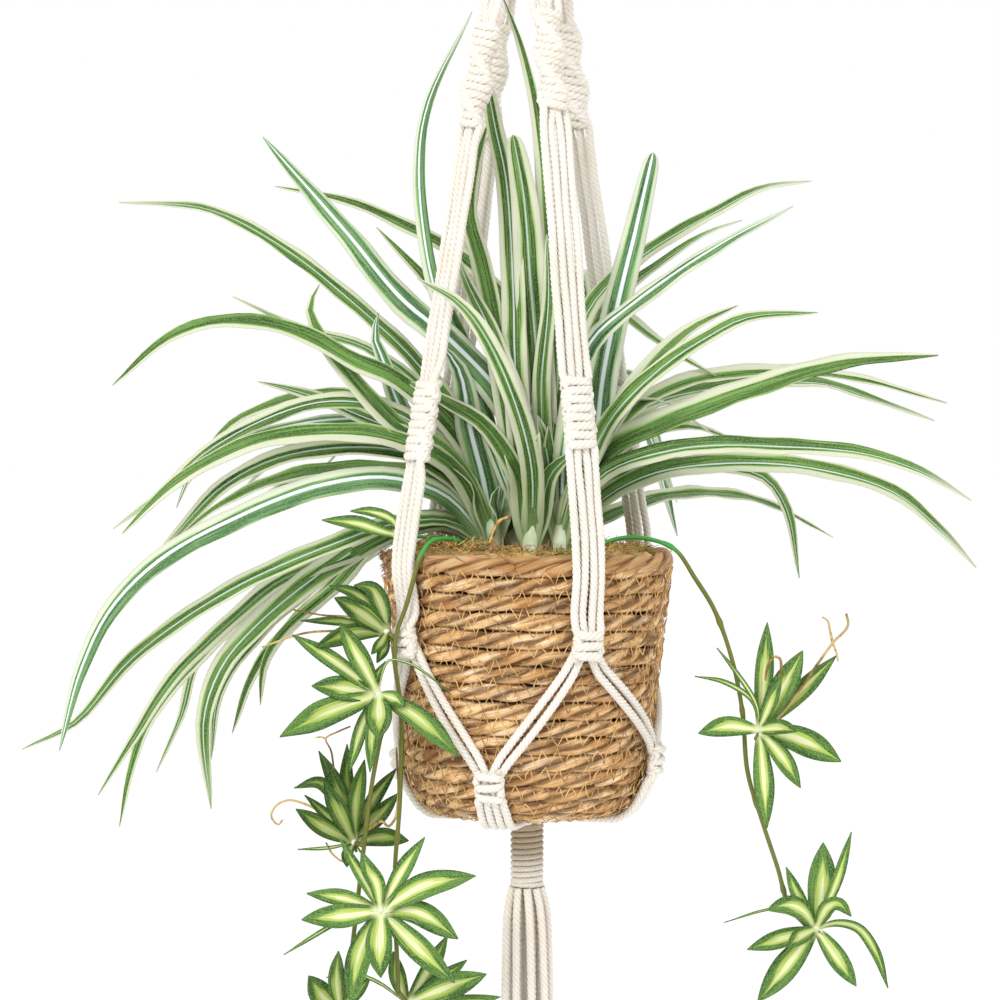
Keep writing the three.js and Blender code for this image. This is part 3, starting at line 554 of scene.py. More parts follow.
chance = random.Random(7)
for leg_name, leg in LEGS.items():
    (spiral_top, spiral_low), (square_top, square_low) = leg["spiral"], leg["square"]
    spiral_rows = knot_heights(spiral_top, spiral_low)
    square_rows = knot_heights(square_top, square_low)
    spiral = half_knots(spiral_rows, **SPIRAL_KNOT)
    square = square_knots(square_rows, **SQUARE_KNOT)
    last = square_knots(LAST_ROWS, **LAST_KNOT)
    # Each plain run from high to low, the knots below it, their heights and how close together
    # the cords are that run through them
    runs = [
        (0.457, spiral_top + LOOSE_EASE, spiral, spiral_rows, 0.3),
        (spiral_low - LOOSE_EASE, square_top + LOOSE_EASE, square, square_rows, 0.9),
        (square_low - LOOSE_EASE, LOOSE_END, last, LAST_ROWS, 0.85),
    ]
    mesh = bmesh.new()
    for cord, across in enumerate(SIDE_BY_SIDE):
        behind = leg["gapped"] and cord not in TYING
        loose_across, loose_out = (0.45 * across, 0.6 * across) if behind else (across, 0)
        course = []
        for high, low, knots, rows, packed in runs:
            for z in plain_run(high, low):
                course.append((loose_across + chance.uniform(-1, 1) * STRAY,
                               loose_out + chance.uniform(-1, 1) * STRAY, z))
            if cord in TYING:
                course += knots[TYING[cord]]
            else:
                course += [(packed * across, 0, z) for z in rows]
        places = []
        for side, out, z in course:
            # The last knot lies on top of the skin
            lift = LAST_LIFT * float(np.interp(z, (-0.0415, LOOSE_END), (1, 0)))
            places.append(leg_place(leg["way"], side, out + lift, z))
        path = smooth_path(places, CORD_STEP)
        lay_cord(mesh, path, knot_swell(path, leg), start=1.3 * cord + leg["way"])
    piece = finish_piece("cords_" + leg_name, mesh, cotton)
    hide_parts("leg_" + leg_name)

# Slings: below each leg's last knot the cords part two and two, and slant across the basket
# to a knot that they share with the neighbouring leg's. Each join: its way and height, the legs
# that its cords come from, and the ways of those.
JOINS = {
    "front": {"way": -107, "height": -0.125, "from": ("front_left", "front_right"), "ways": (-144, -67)},
    "right": {"way": -14, "height": -0.116, "from": ("front_right", "back_right"), "ways": (-67, 39)},
    "back": {"way": 83, "height": -0.121, "from": ("back_right", "back_left"), "ways": (39, 127)},
    "left": {"way": 171, "height": -0.121, "from": ("back_left", "front_left"), "ways": (127, 216)},
}
SLING_TOP = -0.0568
for join_name, join in JOINS.items():
    for side, leg_name in enumerate(join["from"]):
        inward = -1 if side else 1
        start, end = join["ways"][side] + 4 * inward, join["way"] - 4 * inward
        high, low = SLING_TOP, join["height"] + 0.009
        middle_line = [on_basket(join["ways"][side] + 1.5 * inward, -0.0485, 0.004)]
        for k in range(1, 12):
            share = k / 12
            way = start + (end - start) * share
            z = high + (low - high) * share**0.85
            middle_line.append(on_basket(way, z, ON_SKIN))
        middle_line.append(on_basket(join["way"] - 2.2 * inward, join["height"] + 0.004, 0.0036))
        middles = [place for place, out in middle_line]
        mesh = bmesh.new()
        for cord in (-1, 1):
            places = []
            for k, (place, out) in enumerate(middle_line):
                along = (middles[min(k + 1, 12)] - middles[max(k - 1, 0)]).normalized()
                spread = 0.8 if k in (0, 12) else 1 + 0.25 * math.sin(math.pi * k / 12)
                apart = 0.5 * (CORD + 0.0002) * spread
                places.append(place + out.cross(along).normalized() * cord * apart)
            lay_cord(mesh, smooth_path(places, CORD_STEP), CORD / 2, start=cord + side)
        piece = finish_piece(f"cords_{join_name}_from_{leg_name}", mesh, cotton)
        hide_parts(f"sling_{join_name}_from_{leg_name}")

# Joins: a square knot where four cords meet low on the basket. They go on side by side, round
# the foot and under the basket to the gathering wrap.
JOIN_KNOT = {"half": 0.0066, "front": 0.0034, "back": 0.0012}
JOIN_ROWS = (0.0054, 0, -0.0054)  # its heights, from the join's own
JOIN_LIFT = 0.0044  # from the skin to the middle of the knot
BENEATH = -BASKET["height"] - 0.0003 - CORD / 2
# Beneath the basket: distance from the axis, height, and how far the cords are drawn together
BENEATH_COURSE = [(0.051, BENEATH, 1), (0.038, BENEATH, 1), (0.026, BENEATH, 0.97),
                  (0.0165, BENEATH - 0.001, 0.8), (0.0085, -0.1520, 0.45), (0.0045, -0.1575, 0.28)]
for join_name, join in JOINS.items():
    height = join["height"]
    across_way = sideways(join["way"])
    knots = square_knots([height + row for row in JOIN_ROWS], **JOIN_KNOT)
    mesh = bmesh.new()
    for cord, across in enumerate(SIDE_BY_SIDE):
        if cord in TYING:
            # After three rows a tying cord leaves on the other side
            course = knots[TYING[cord]]
            across = -across
        else:
            course = [(0.85 * across, 0, height + row) for row in (0.0075, *JOIN_ROWS)]
        places = []
        for side, out, z in course:
            place = on_basket(join["way"], z, JOIN_LIFT + out)[0]
            places.append(place + across_way * side)
        low_turn = foot_turn(height - 0.011)
        for k in range(5):
            turn = low_turn + (math.radians(82) - low_turn) * k / 4
            z = BASKET["waist_height"] - FOOT_DROP * math.sin(turn)
            place = on_basket(join["way"], z, CORD / 2 + 0.0006 + 0.0008 * (k == 0))[0]
            places.append(place + across_way * across * (0.93 if k == 0 else 1))
        for away, z, squeeze in BENEATH_COURSE:
            places.append(polar(away, join["way"], z) + across_way * across * squeeze)
        lay_cord(mesh, smooth_path(places, CORD_STEP), CORD / 2, start=2.1 * cord)
    piece = finish_piece("cords_under_" + join_name, mesh, cotton)
    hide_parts("join_" + join_name)

# Basket: one rope of twisted seagrass coiled from the rim to the middle of the bottom, each
# coil stitched to the next with golden thread, and a twisted coil of its own along the rim.
COIL = 0.0099  # from one coil to the next
FIRST_COIL = 0.0054  # from the rim down to the middle of the first
COIL_DEPTH = 0.0050  # from the skin in to a coil's middle
seagrass, tree, shader = new_finish("twisted_seagrass", roughness=0.72, Specular_IOR_Level=0.25)
around = unrolled(tree)["Y"]
strand = times(tree, attribute(tree, "strand"), 3.7)


def grass_noise(run_scale, around_scale, detail):
    """Noise that is drawn out along each strand."""
    along = times(tree, attribute(tree, "run"), run_scale)
    across = times(tree, around, around_scale)
    place = put(tree, "CombineXYZ", {"X": along, "Y": across, "Z": strand}).outputs[0]
    return speckle(tree, 1.0, detail, place)


bleached = rise(tree, grass_noise(38.0, 0.8, 2.0), 0.38, 0.62)
colour = blend(tree, bleached, tint(212, 163, 106), tint(246, 206, 152))
pale = rise(tree, grass_noise(45.0, 4.0, 3.0), 0.48, 0.70)
colour = blend(tree, times(tree, pale, 0.8), colour, tint(250, 228, 192))
brown = rise(tree, grass_noise(60.0, 3.0, 3.0), 0.56, 0.72)
colour = blend(tree, times(tree, brown, 0.7), colour, tint(154, 104, 56))
fibres = grass_noise(60.0, 30.0, 3.0)
dark = times(tree, rise(tree, fibres, 0.50, 0.66), 0.55)
colour = blend(tree, dark, colour, tint(130, 88, 46))
# Painted shade: darker deep in a coil between its strands, and darkest where one coil meets the next
out = attribute(tree, "out")
painted_shade_in_coil = times(tree, rise(tree, out, 0.0047, 0.0037), rise(tree, out, 0.0005, 0.0010))
colour = blend(tree, times(tree, painted_shade_in_coil, 0.7), colour, tint(104, 66, 32))
painted_shade_between_coils = rise(tree, attribute(tree, "edge"), 0.0036, 0.0052)
colour = blend(tree, times(tree, painted_shade_between_coils, 0.85), colour, tint(92, 56, 26))
colour = blend(tree, rise(tree, speckle(tree, 30.0, 2.0), 0.60, 0.75), colour, tint(166, 116, 68))
worn = times(tree, rise(tree, height_in(tree), RIM.z - 0.014, RIM.z - 0.006), 0.55)
colour = blend(tree, worn, colour, tint(150, 104, 58))
feed(tree, shader.inputs["Base Color"], colour)
emboss(tree, shader, times(tree, fibres, -1.0), 0.0010, 1.0)

# The skin's outline from the rim to the middle of the bottom, as radius, height and the way out.
outline = [(basket_radius(z), z, foot_turn(z)) for z in np.linspace(0, BASKET["waist_height"], 12)]
for turn in np.linspace(0, math.pi / 2, 24)[1:]:
    z = BASKET["waist_height"] - FOOT_DROP * math.sin(turn)
    outline.append((basket_radius(z), z, turn))
outline += [(radius, -BASKET["height"], math.pi / 2) for radius in (0.04, 0.025, 0.0125, 0.005)]
outline = np.array(outline)
outline_run = np.concatenate([[0], np.cumsum(np.linalg.norm(np.diff(outline[:, :2], axis=0), axis=1))])


def skin_place(run, way, lift):
    """The place at a distance down the basket's skin and a way round it, in radians."""
    radius, z, turn = (np.interp(run, outline_run, outline[:, part]) for part in range(3))
    out = np.stack([np.cos(turn) * np.cos(way), np.cos(turn) * np.sin(way), -np.sin(turn)], axis=1)
    down = np.stack([-np.sin(turn) * np.cos(way), -np.sin(turn) * np.sin(way), -np.cos(turn)], axis=1)
    middle = np.stack([radius * np.cos(way), radius * np.sin(way), z + RIM.z], axis=1)
    return middle + out * lift, out, down


def coil_course(start_run, end_run, step):
    """Even steps round and round, from one distance down the skin to another."""
    ways, runs, way, run = [], [], -2.4, start_run
    while run < end_run:
        ways.append(way)
        runs.append(run)
        radius = max(0.006, float(np.interp(run, outline_run, outline[:, 0])))
        way += step / radius
        run += COIL * step / radius / (2 * math.pi)
    return np.array(runs), np.array(ways)


def twist_coil(mesh, runs, ways, strands, off, thick, pitch):
    """Lays strands round each other along a course on the basket's skin, and behind them a plain
    core that closes the gaps, marked so that its outward face takes the painted shade."""
    middles, out, down = skin_place(runs, ways, -COIL_DEPTH)
    length = np.concatenate([[0], np.cumsum(np.linalg.norm(np.diff(middles, axis=0), axis=1))])
    rough = np.random.default_rng(5)
    marks = np.arange(0, length[-1] + 0.02, 0.013)
    sway = 0.0003 * np.sin(7.3 * ways)
    sway += 0.0004 * np.interp(length, marks, rough.standard_normal(len(marks)))
    middles = middles + down * sway[:, None]
    for strand in range(strands):
        slack, plump = (np.interp(length, marks, rough.standard_normal(len(marks))) for part in range(2))
        turn = 2 * math.pi * (strand / strands - length / pitch) + 0.25 * slack
        path = middles + off * (0.9 * out * np.cos(turn)[:, None] + down * 1.12 * np.sin(turn)[:, None])
        size = thick * (1 + 0.13 * plump + 0.03 * rough.standard_normal(len(length)))
        lay_cord(mesh, path, size, turn=0.35, groove=0.17, start=strand, heart=middles, down=down)
    # Its marks give the core's outward face the darkest painted shade, seen through the gaps
    core = middles[::2] - out[::2] * 0.0013
    lay_cord(mesh, core, 0.0044, strands=4, turn=1.0, groove=0.03, heart=core, down=2 * out[::2])


mesh = bmesh.new()
runs, ways = coil_course(FIRST_COIL, outline_run[-1], 0.0032)
twist_coil(mesh, runs, ways, strands=3, off=0.0023, thick=0.0031, pitch=0.054)
coils = finish_piece("seagrass_coils", mesh, seagrass)
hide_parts("basket")

# The rim's own coil: three strands, each a third of a turn from the next
PLAIT_RADIUS = 0.0777
PLAIT_PITCH = 0.060
mesh = bmesh.new()
ways = np.linspace(-1.7, 2 * math.pi - 1.66, 170)
rim_out = np.stack([np.cos(ways), np.sin(ways), 0 * ways], axis=1)
rim_height = np.full(len(ways), RIM.z - 0.0052)
rim_middle = np.stack([PLAIT_RADIUS * np.cos(ways), PLAIT_RADIUS * np.sin(ways), rim_height], axis=1)
for strand in range(3):
    turn = strand * 2.094 - PLAIT_RADIUS * ways * 2 * math.pi / PLAIT_PITCH
    path = rim_middle + 0.0025 * rim_out * np.cos(turn)[:, None]
    path += 0.0029 * np.sin(turn)[:, None] * (0, 0, -1)
    size = 0.0030 * (1 + 0.1 * np.sin(ways * 9 + strand))
    lay_cord(mesh, path, size, turn=0.35, groove=0.17, start=strand, heart=rim_middle)
rim = finish_piece("rim_plait", mesh, seagrass)

# Stitching: a golden thread that zigzags over each pair of coils.
thread, tree, shader = new_finish("golden_thread", roughness=0.5, Sheen_Weight=0.1)
faded = rise(tree, speckle(tree, 90.0), 0.40, 0.60)
colour = blend(tree, faded, tint(150, 106, 48), tint(226, 184, 112))
feed(tree, shader.inputs["Base Color"], colour)
mesh = bmesh.new()
THREAD_RADIUS = 0.00034
runs, ways = coil_course(FIRST_COIL, outline_run[-1] - 0.04, 0.0020)
swing = np.array([0, 1, 0, -1])[np.arange(len(runs)) % 4]
lift = np.where(swing, 0.0010, 0.0004)[:, None]
rough = np.random.default_rng(3)
ways = ways + 0.008 * rough.standard_normal(len(ways))
places = skin_place(runs + COIL * (0.5 + swing * rough.uniform(0.30, 0.56, len(ways))), ways, lift)[0]
lay_cord(mesh, places, THREAD_RADIUS, strands=2, turn=1.0, groove=0)
stitching = finish_piece("stitching", mesh, thread)

# Wisps: loose ends of grass that stand off the coils, many of them where the rim is worn.
WISPS = 260
WORN_WISPS = 90
WORN_WAY = math.radians(197)
chance = random.Random(11)
mesh = bmesh.new()
for k in range(WISPS):
    worn = k < WORN_WISPS
    way = chance.gauss(WORN_WAY, 0.16) if worn else chance.uniform(0, 2 * math.pi)
    run = chance.uniform(-0.002, 0.012) if worn else chance.uniform(0.0, 0.13)
    middle, out, down = (part[0] for part in skin_place(np.array([run]), np.array([way]), 0.0))
    round_way = np.cross(out, down) * chance.choice((-1, 1))
    length = chance.uniform(0.005, 0.013)
    lean = chance.uniform(-0.6, 0.4)
    steps = np.linspace(0, 1, 5)[:, None]
    raised = out * (0.0022 * steps * chance.random() - 0.0003)
    path = middle + length * steps * (round_way * 0.9 + down * lean) + raised
    lay_cord(mesh, path, np.linspace(0.0005, 0.00015, 5), strands=2, turn=1.0, groove=0.3)
wisps = finish_piece("grass_wisps", mesh, seagrass)

# Liner, soil and moss: a plastic sheet keeps the damp soil in, and moss covers it to the rim.
plastic, tree, shader = new_finish("liner_plastic", roughness=0.45)
creases = speckle(tree, 120.0)
feed(tree, shader.inputs["Base Color"], blend(tree, creases, tint(48, 44, 40), tint(66, 60, 52)))
emboss(tree, shader, creases, 0.0006, 0.5)
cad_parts["liner"].material_slots[0].material = plastic

earth, tree, shader = new_finish("damp_soil", roughness=0.95, Specular_IOR_Level=0.2)
place = put(tree, "TexCoord").outputs["Object"]
crumbs = put(tree, "TexVoronoi", {"Vector": place, "Scale": 420.0}).outputs["Distance"]
colour = blend(tree, speckle(tree, 160.0, 5.0), tint(52, 36, 24), tint(92, 66, 44))
colour = blend(tree, rise(tree, crumbs, 0.5, 0.1), colour, tint(40, 27, 18))
feed(tree, shader.inputs["Base Color"], colour)
emboss(tree, shader, calc(tree, "SUBTRACT", 1.0, crumbs), 0.0012, 0.9)
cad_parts["soil"].material_slots[0].material = earth

moss_coat, tree, shader = new_finish("dried_moss", roughness=0.9, Sheen_Weight=0.2)
tufts = speckle(tree, 95.0, 5.0)
colour = blend(tree, rise(tree, tufts, 0.35, 0.65), tint(166, 122, 52), tint(226, 188, 108))
colour = blend(tree, rise(tree, speckle(tree, 34.0), 0.52, 0.70), colour, tint(164, 158, 60))
colour = blend(tree, rise(tree, speckle(tree, 340.0), 0.32, 0.46), tint(74, 50, 20), colour)
feed(tree, shader.inputs["Base Color"], colour)
emboss(tree, shader, speckle(tree, 500.0, 6.0), 0.0015, 1.0)
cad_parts["moss"].material_slots[0].material = moss_coat

# Moss fibres: short crooked threads that stand up out of it, higher at the front left
MOSS_FIBRES = 1700
FIBRE_STEP = 0.0016  # five of these make a fibre
mesh = bmesh.new()
for k in range(MOSS_FIBRES):
    away, way = 0.001 * chance.uniform(34, 71), chance.uniform(0, 2 * math.pi)
    top = float(np.interp(away, (0.034, 0.042, 0.056, 0.069, 0.071), (-0.011, -0.001, 0.002, 0, -0.004)))
    top += 0.0060 * chance.random() * max(0, -math.cos(way - 0.5)) ** 2
    spot = np.array([away * math.cos(way), away * math.sin(way), RIM.z + top])
    path = [spot]
    heading = np.array([chance.uniform(-1, 1), chance.uniform(-1, 1), chance.uniform(0.1, 0.9)])
    for step in range(5):
        swerve = [chance.uniform(-0.9, 0.9), chance.uniform(-0.9, 0.9), chance.uniform(-0.75, 0.45)]
        heading = heading + swerve
        spot = spot + FIBRE_STEP * heading / np.linalg.norm(heading)
        path.append(spot)
    lay_cord(mesh, np.array(path), np.linspace(0.00034, 0.00014, 6), strands=2, turn=1.0, groove=0.2)
# One thick rootlet in the moss, at the front left, in millimetres from the middle of the rim
rootlet = [(-36, -36, -5), (-31, -35, 3), (-26, -34, 5.5), (-21.5, -33, 5),
           (-19, -32, 12), (-15, -31, 18), (-9, -31, 20)]
path = smooth_path([RIM + Vector(place) / 1000 for place in rootlet], 0.0015)
girth = 0.0010 + 0.0003 * np.sin(np.arange(len(path)) * 1.7)
lay_cord(mesh, path, girth, strands=3, turn=1.0, groove=0.2)
fibres = finish_piece("moss_fibres", mesh, moss_coat)

# Leaves: arching ribbons with a shallow gutter, green in streaks with cream margins and a pale
# line along the middle. They rise from six crowns. Each row gives the crown, how far back the
# tip is, the width, how far the leaf is turned to the front in degrees (past 180 it shows its
# under side), and the points x, z that it passes as seen from the front, in millimetres.
CROWNS = {"left": (-19, -6), "middle": (-8, 9), "front": (2, -15),
          "right": (12, 4), "outer": (19, -9), "back": (9, 24)}
LEAVES = [
    ["middle", 40, 9, 50, [-35, 45], [-62, 62], [-90, 74], [-125, 88], [-152, 95]],
    ["middle", 70, 9, 45, [-40, 52], [-75, 78], [-113, 87], [-160, 75], [-188, 50]],
    ["left", -20, 8, 55,
     [-45, 55], [-78, 79], [-110, 84], [-140, 77], [-180, 56], [-207, 32], [-234, 12]],
    ["middle", 90, 8, 230, [-42, 50], [-80, 72], [-117, 73], [-163, 61], [-190, 42], [-198, 24]],
    ["left", -50, 9, 55, [-42, 45], [-75, 62], [-110, 66], [-155, 60], [-198, 38], [-229, 9]],
    ["middle", 100, 8, 40, [-40, 45], [-75, 60], [-110, 64], [-130, 60], [-160, 35]],
    ["left", -30, 9, 55, [-38, 36], [-66, 54], [-94, 58], [-140, 52], [-173, 35], [-198, 9], [-214, -9]],
    ["left", 60, 9, 50, [-40, 32], [-62, 42], [-87, 45], [-132, 42], [-170, 27], [-195, 9]],
    ["middle", 110, 7, 45, [-50, 36], [-85, 46], [-115, 45], [-160, 25]],
    ["left", -80, 10, 250,
     [-45, 30], [-79, 41], [-119, 36], [-163, 19], [-207, -5], [-236, -34], [-253, -69], [-265, -114]],
    ["left", -40, 8, 60,
     [-42, 16], [-73, 15], [-110, 3], [-170, -24], [-224, -62], [-256, -98], [-286, -113]],
    ["left", 20, 8, 60,
     [-45, 14], [-74, 9], [-100, -3], [-140, -18], [-170, -43], [-201, -73], [-221, -104], [-243, -139]],
    ["left", 60, 7, 50,
     [-50, 14], [-82, 9], [-115, -8], [-160, -38],
     [-201, -79], [-216, -101], [-224, -123], [-231, -157]],
    ["left", 85, 7, 50,
     [-50, 13], [-82, 8], [-115, -11], [-155, -32], [-186, -62], [-196, -95], [-210, -126]],
    ["middle", -10, 11, 60,
     [-45, 16], [-82, 8], [-112, -10], [-150, -40], [-172, -65], [-183, -96], [-179, -147]],
    ["middle", 60, 8, 50, [-45, 14], [-84, 6], [-118, -18], [-153, -50], [-174, -81], [-179, -119]],
    ["middle", 90, 8, 45, [-45, 14], [-80, 6], [-108, -22], [-136, -46], [-148, -64], [-151, -88]],
    ["back", 115, 9, 45, [-40, 16], [-80, 4], [-115, -26], [-152, -66], [-167, -104]],
    ["middle", 50, 8, 50, [-30, 60], [-62, 105], [-100, 141], [-140, 172], [-180, 192], [-230, 196]],
    ["right", -28, 13, 240, [5, 46], [-12, 84], [-45, 120], [-72, 143], [-100, 177], [-149, 233]],
    ["right", 40, 9, 50, [8, 50], [6, 100], [-8, 133], [-36, 164], [-66, 181], [-100, 196], [-142, 205]],
    ["middle", 10, 7, 60, [-25, 80], [-42, 130], [-56, 151], [-70, 166], [-85, 182]],
    ["front", 10, 6, 250, [-20, 60], [-42, 120], [-54, 154], [-61, 215], [-56, 251], [-31, 303]],
    ["front", 3, 10, 80, [-8, 60], [-18, 120], [-26, 162], [-33, 190], [-30, 215], [-22, 241]],
    ["front", 3, 10, 80, [-4, 60], [-7, 110], [-8, 150], [-12, 209], [-18, 238], [-23, 264]],
    ["right", -8, 14, 80, [8, 50], [6, 100], [2, 150], [-2, 200], [-8, 234]],
    ["right", -3, 7, 70, [12, 60], [13, 130], [10, 188], [5, 246], [-4, 284], [-14, 312]],
    ["right", -15, 8, 75, [10, 45], [8, 92], [12, 140], [11, 178]],
    ["middle", -60, 9, 55,
     [-38, 62], [-72, 94], [-98, 106], [-130, 123], [-168, 129], [-200, 121], [-234, 93]],
    ["left", -25, 9, 60,
     [-27, 24], [-48, 55], [-73, 69], [-91, 87], [-114, 116], [-123, 137], [-117, 150]],
    ["middle", 75, 6, 50, [-45, 75], [-89, 113], [-130, 126], [-166, 143]],
    ["left", -5, 9, 265, [-40, 40], [-70, 77], [-81, 107], [-86, 120], [-84, 134]],
    ["front", -6, 9, 75, [0, 60], [-20, 122], [-33, 149], [-42, 172]],
    ["front", -62, 9, 70, [2, 50], [-18, 110], [-38, 139], [-62, 153]],
    ["left", -14, 13, 260, [-24, 36], [-32, 68], [-38, 101], [-48, 116]],
    ["right", -22, 8, 70, [12, 30], [12, 50], [12, 70]],
    ["front", -15, 8, 65, [0, 25], [-22, 68], [-48, 85], [-70, 96]],
    ["outer", 25, 8, 50, [20, 70], [33, 132], [60, 162], [107, 191], [133, 204], [160, 208]],
    ["outer", -60, 9, 230, [22, 65], [35, 116], [61, 140], [108, 172], [150, 194]],
    ["outer", 15, 6, 50, [25, 80], [45, 135], [77, 163], [102, 179], [121, 186]],
    ["outer", -20, 12, 255, [34, 32], [39, 64], [43, 99], [52, 143], [61, 180], [71, 224]],
    ["right", 22, 7, 45, [20, 80], [31, 128], [48, 136], [71, 120], [91, 107], [107, 98]],
    ["outer", -50, 9, 60, [35, 50], [52, 79], [71, 106], [94, 126], [119, 138]],
    ["outer", -80, 8, 55, [45, 70], [75, 102], [100, 119], [124, 131], [164, 134]],
    ["right", 40, 8, 50, [30, 50], [55, 76], [86, 94], [133, 101], [180, 98], [237, 83]],
    ["right", 85, 8, 45, [40, 62], [70, 82], [100, 90], [165, 94], [195, 85], [230, 73]],
    ["outer", -70, 11, 60, [40, 53], [86, 76], [133, 93], [180, 106], [232, 110]],
    ["outer", -110, 8, 60, [40, 40], [86, 57], [149, 58], [192, 54], [223, 44], [251, 28]],
    ["outer", -30, 9, 60, [40, 26], [71, 43], [125, 49], [172, 44], [208, 32], [234, 11], [254, -10]],
    ["back", 190, 8, 50, [41, 17], [72, 29], [102, 32], [133, 27], [173, 7]],
    ["right", 30, 7, 50, [35, 34], [66, 47], [100, 47], [132, 42], [146, 25], [154, -16]],
    ["right", 60, 6, 45, [35, 40], [60, 62], [91, 70], [118, 62]],
]
BLUNT_TIPS = [[-23, 264], [-8, 234], [71, 224]]  # tips of those that end rounded
# Leaves at the back, which the front view hides: the way each goes, in degrees
BACK_LEAVES = [-8, 58, 68, 78, 91, 102, 112, 174, 63, 84, 97]
LEAF_THICKNESS = 0.0006
LEAST_WIDTH = 0.0005  # of a leaf at its tip


def seen(x, y, z):
    """The real place of a point that the front view shows at x, z and that lies y behind the
    axis, in millimetres from the middle of the rim."""
    spread = 1 - y / EYE.y
    return Vector((EYE.x + (x - EYE.x) * spread, y, EYE.z + (z - EYE.z) * spread)) / 1000 + RIM


def seen_path(root, tip_depth, points):
    """The places of a leaf's points: the depth grows evenly from its root to its tip."""
    stops = [(root[0], root[2])] + [tuple(point) for point in points]
    runs = [0]
    for before, after in zip(stops, stops[1:]):
        runs.append(runs[-1] + math.dist(before, after))
    depths = [root[1] + (tip_depth - root[1]) * run / runs[-1] for run in runs]
    return [seen(x, depth, z) for (x, z), depth in zip(stops[1:], depths[1:])]


def leaf_width(t):
    """A leaf's width at a share of its length: full from near its foot, and pointed."""
    return 1.42 * min(1, 0.60 + 1.7 * t) * max(0, 1 - t**3.5) ** 0.75


def blunt_width(t):
    """The same for a leaf with a rounded tip."""
    return 1.42 * min(1, 0.60 + 1.7 * t) * (1 - 0.5 * t**4) * max(0, 1 - t**60) ** 0.5


def grow_blade(mesh, points, width, facing, shape, step=0.008, gutter=0.28, curl=0.0, tone=None):
    """Adds a leaf as a sheet along its points, with its edges raised."""
    path = smooth_path(points, step)
    rings, tone = len(path), chance.random() if tone is None else tone
    blade, spots, tone_mark, run_mark = start_sheet(rings - 1, 6, "tone", "run")
    along = np.gradient(path, axis=0)
    along /= np.linalg.norm(along, axis=1)[:, None]
    turn = np.radians(facing + curl * np.linspace(0, 1, rings) ** 2)
    lean = np.stack([0 * turn, -np.sin(turn), np.cos(turn)], axis=1)
    up = lean - along * np.sum(lean * along, axis=1)[:, None]
    up /= np.linalg.norm(up, axis=1)[:, None]
    side = np.cross(up, along)
    wave = chance.uniform(0, 6)
    for k in range(7):
        across = k / 3 - 1
        for i in range(rings):
            share = i / (rings - 1)
            half = max(LEAST_WIDTH / 2, width / 2 * shape(share))
            ripple = 0.13 * half * math.sin(170 * share * step * rings + wave + across) * abs(across)
            spot = spots[k * rings + i]
            lift = gutter * half * abs(across) ** 1.3 + ripple
            spot.co = path[i] + side[i] * half * across + up[i] * lift
            spot[tone_mark] = tone
            spot[run_mark] = share * (rings - 1) * step
    join_to(mesh, blade)


def thicken(piece):
    """Gives a sheet its thickness, the under side in the piece's second finish."""
    made = piece.modifiers.new("thickness", "SOLIDIFY")
    made.thickness = LEAF_THICKNESS
    made.offset = 0
    made.material_offset = 1
    made.material_offset_rim = 0


# Stripes that run along a leaf. Middle is 0 at the middle line and 1 at the margin. Across is the
# same for the green band, which wanders on its way to the tip and lies to one side of most leaves.
leaf_stripes, given, result = new_effect(
    "leaf_stripes", {"Streak Count": 7.0}, ["Across", "Middle", "Share", "Streaks", "Fine", "Tone"])
leaf_place = unrolled(leaf_stripes)
tone = times(leaf_stripes, attribute(leaf_stripes, "tone"), 31.0)
run = attribute(leaf_stripes, "run")


def stripe_noise(run_scale, across_scale, detail):
    """Noise that is drawn out along the leaf."""
    along = times(leaf_stripes, run, run_scale)
    across = times(leaf_stripes, leaf_place["Y"], across_scale)
    across = times(leaf_stripes, across, given["Streak Count"])
    place = put(leaf_stripes, "CombineXYZ", {"X": along, "Y": across, "Z": tone}).outputs[0]
    return speckle(leaf_stripes, 1.0, detail, place)


across = calc(leaf_stripes, "MULTIPLY_ADD", leaf_place["Y"], 2.0, -1.0)
feed(leaf_stripes, result["Middle"], calc(leaf_stripes, "ABSOLUTE", across))
wander = calc(leaf_stripes, "MULTIPLY_ADD", stripe_noise(20.0, 0.0, 1.0), 0.6, -0.3)
aside = calc(leaf_stripes, "MULTIPLY_ADD", attribute(leaf_stripes, "tone"), 0.7, -0.35)
across = calc(leaf_stripes, "ADD", across, calc(leaf_stripes, "ADD", wander, aside))
feed(leaf_stripes, result["Across"], calc(leaf_stripes, "ABSOLUTE", across))
feed(leaf_stripes, result["Share"], leaf_place["X"])
feed(leaf_stripes, result["Streaks"], stripe_noise(11.0, 1.0, 2.0))
feed(leaf_stripes, result["Fine"], stripe_noise(30.0, 4.5, 3.0))
feed(leaf_stripes, result["Tone"], attribute(leaf_stripes, "tone"))


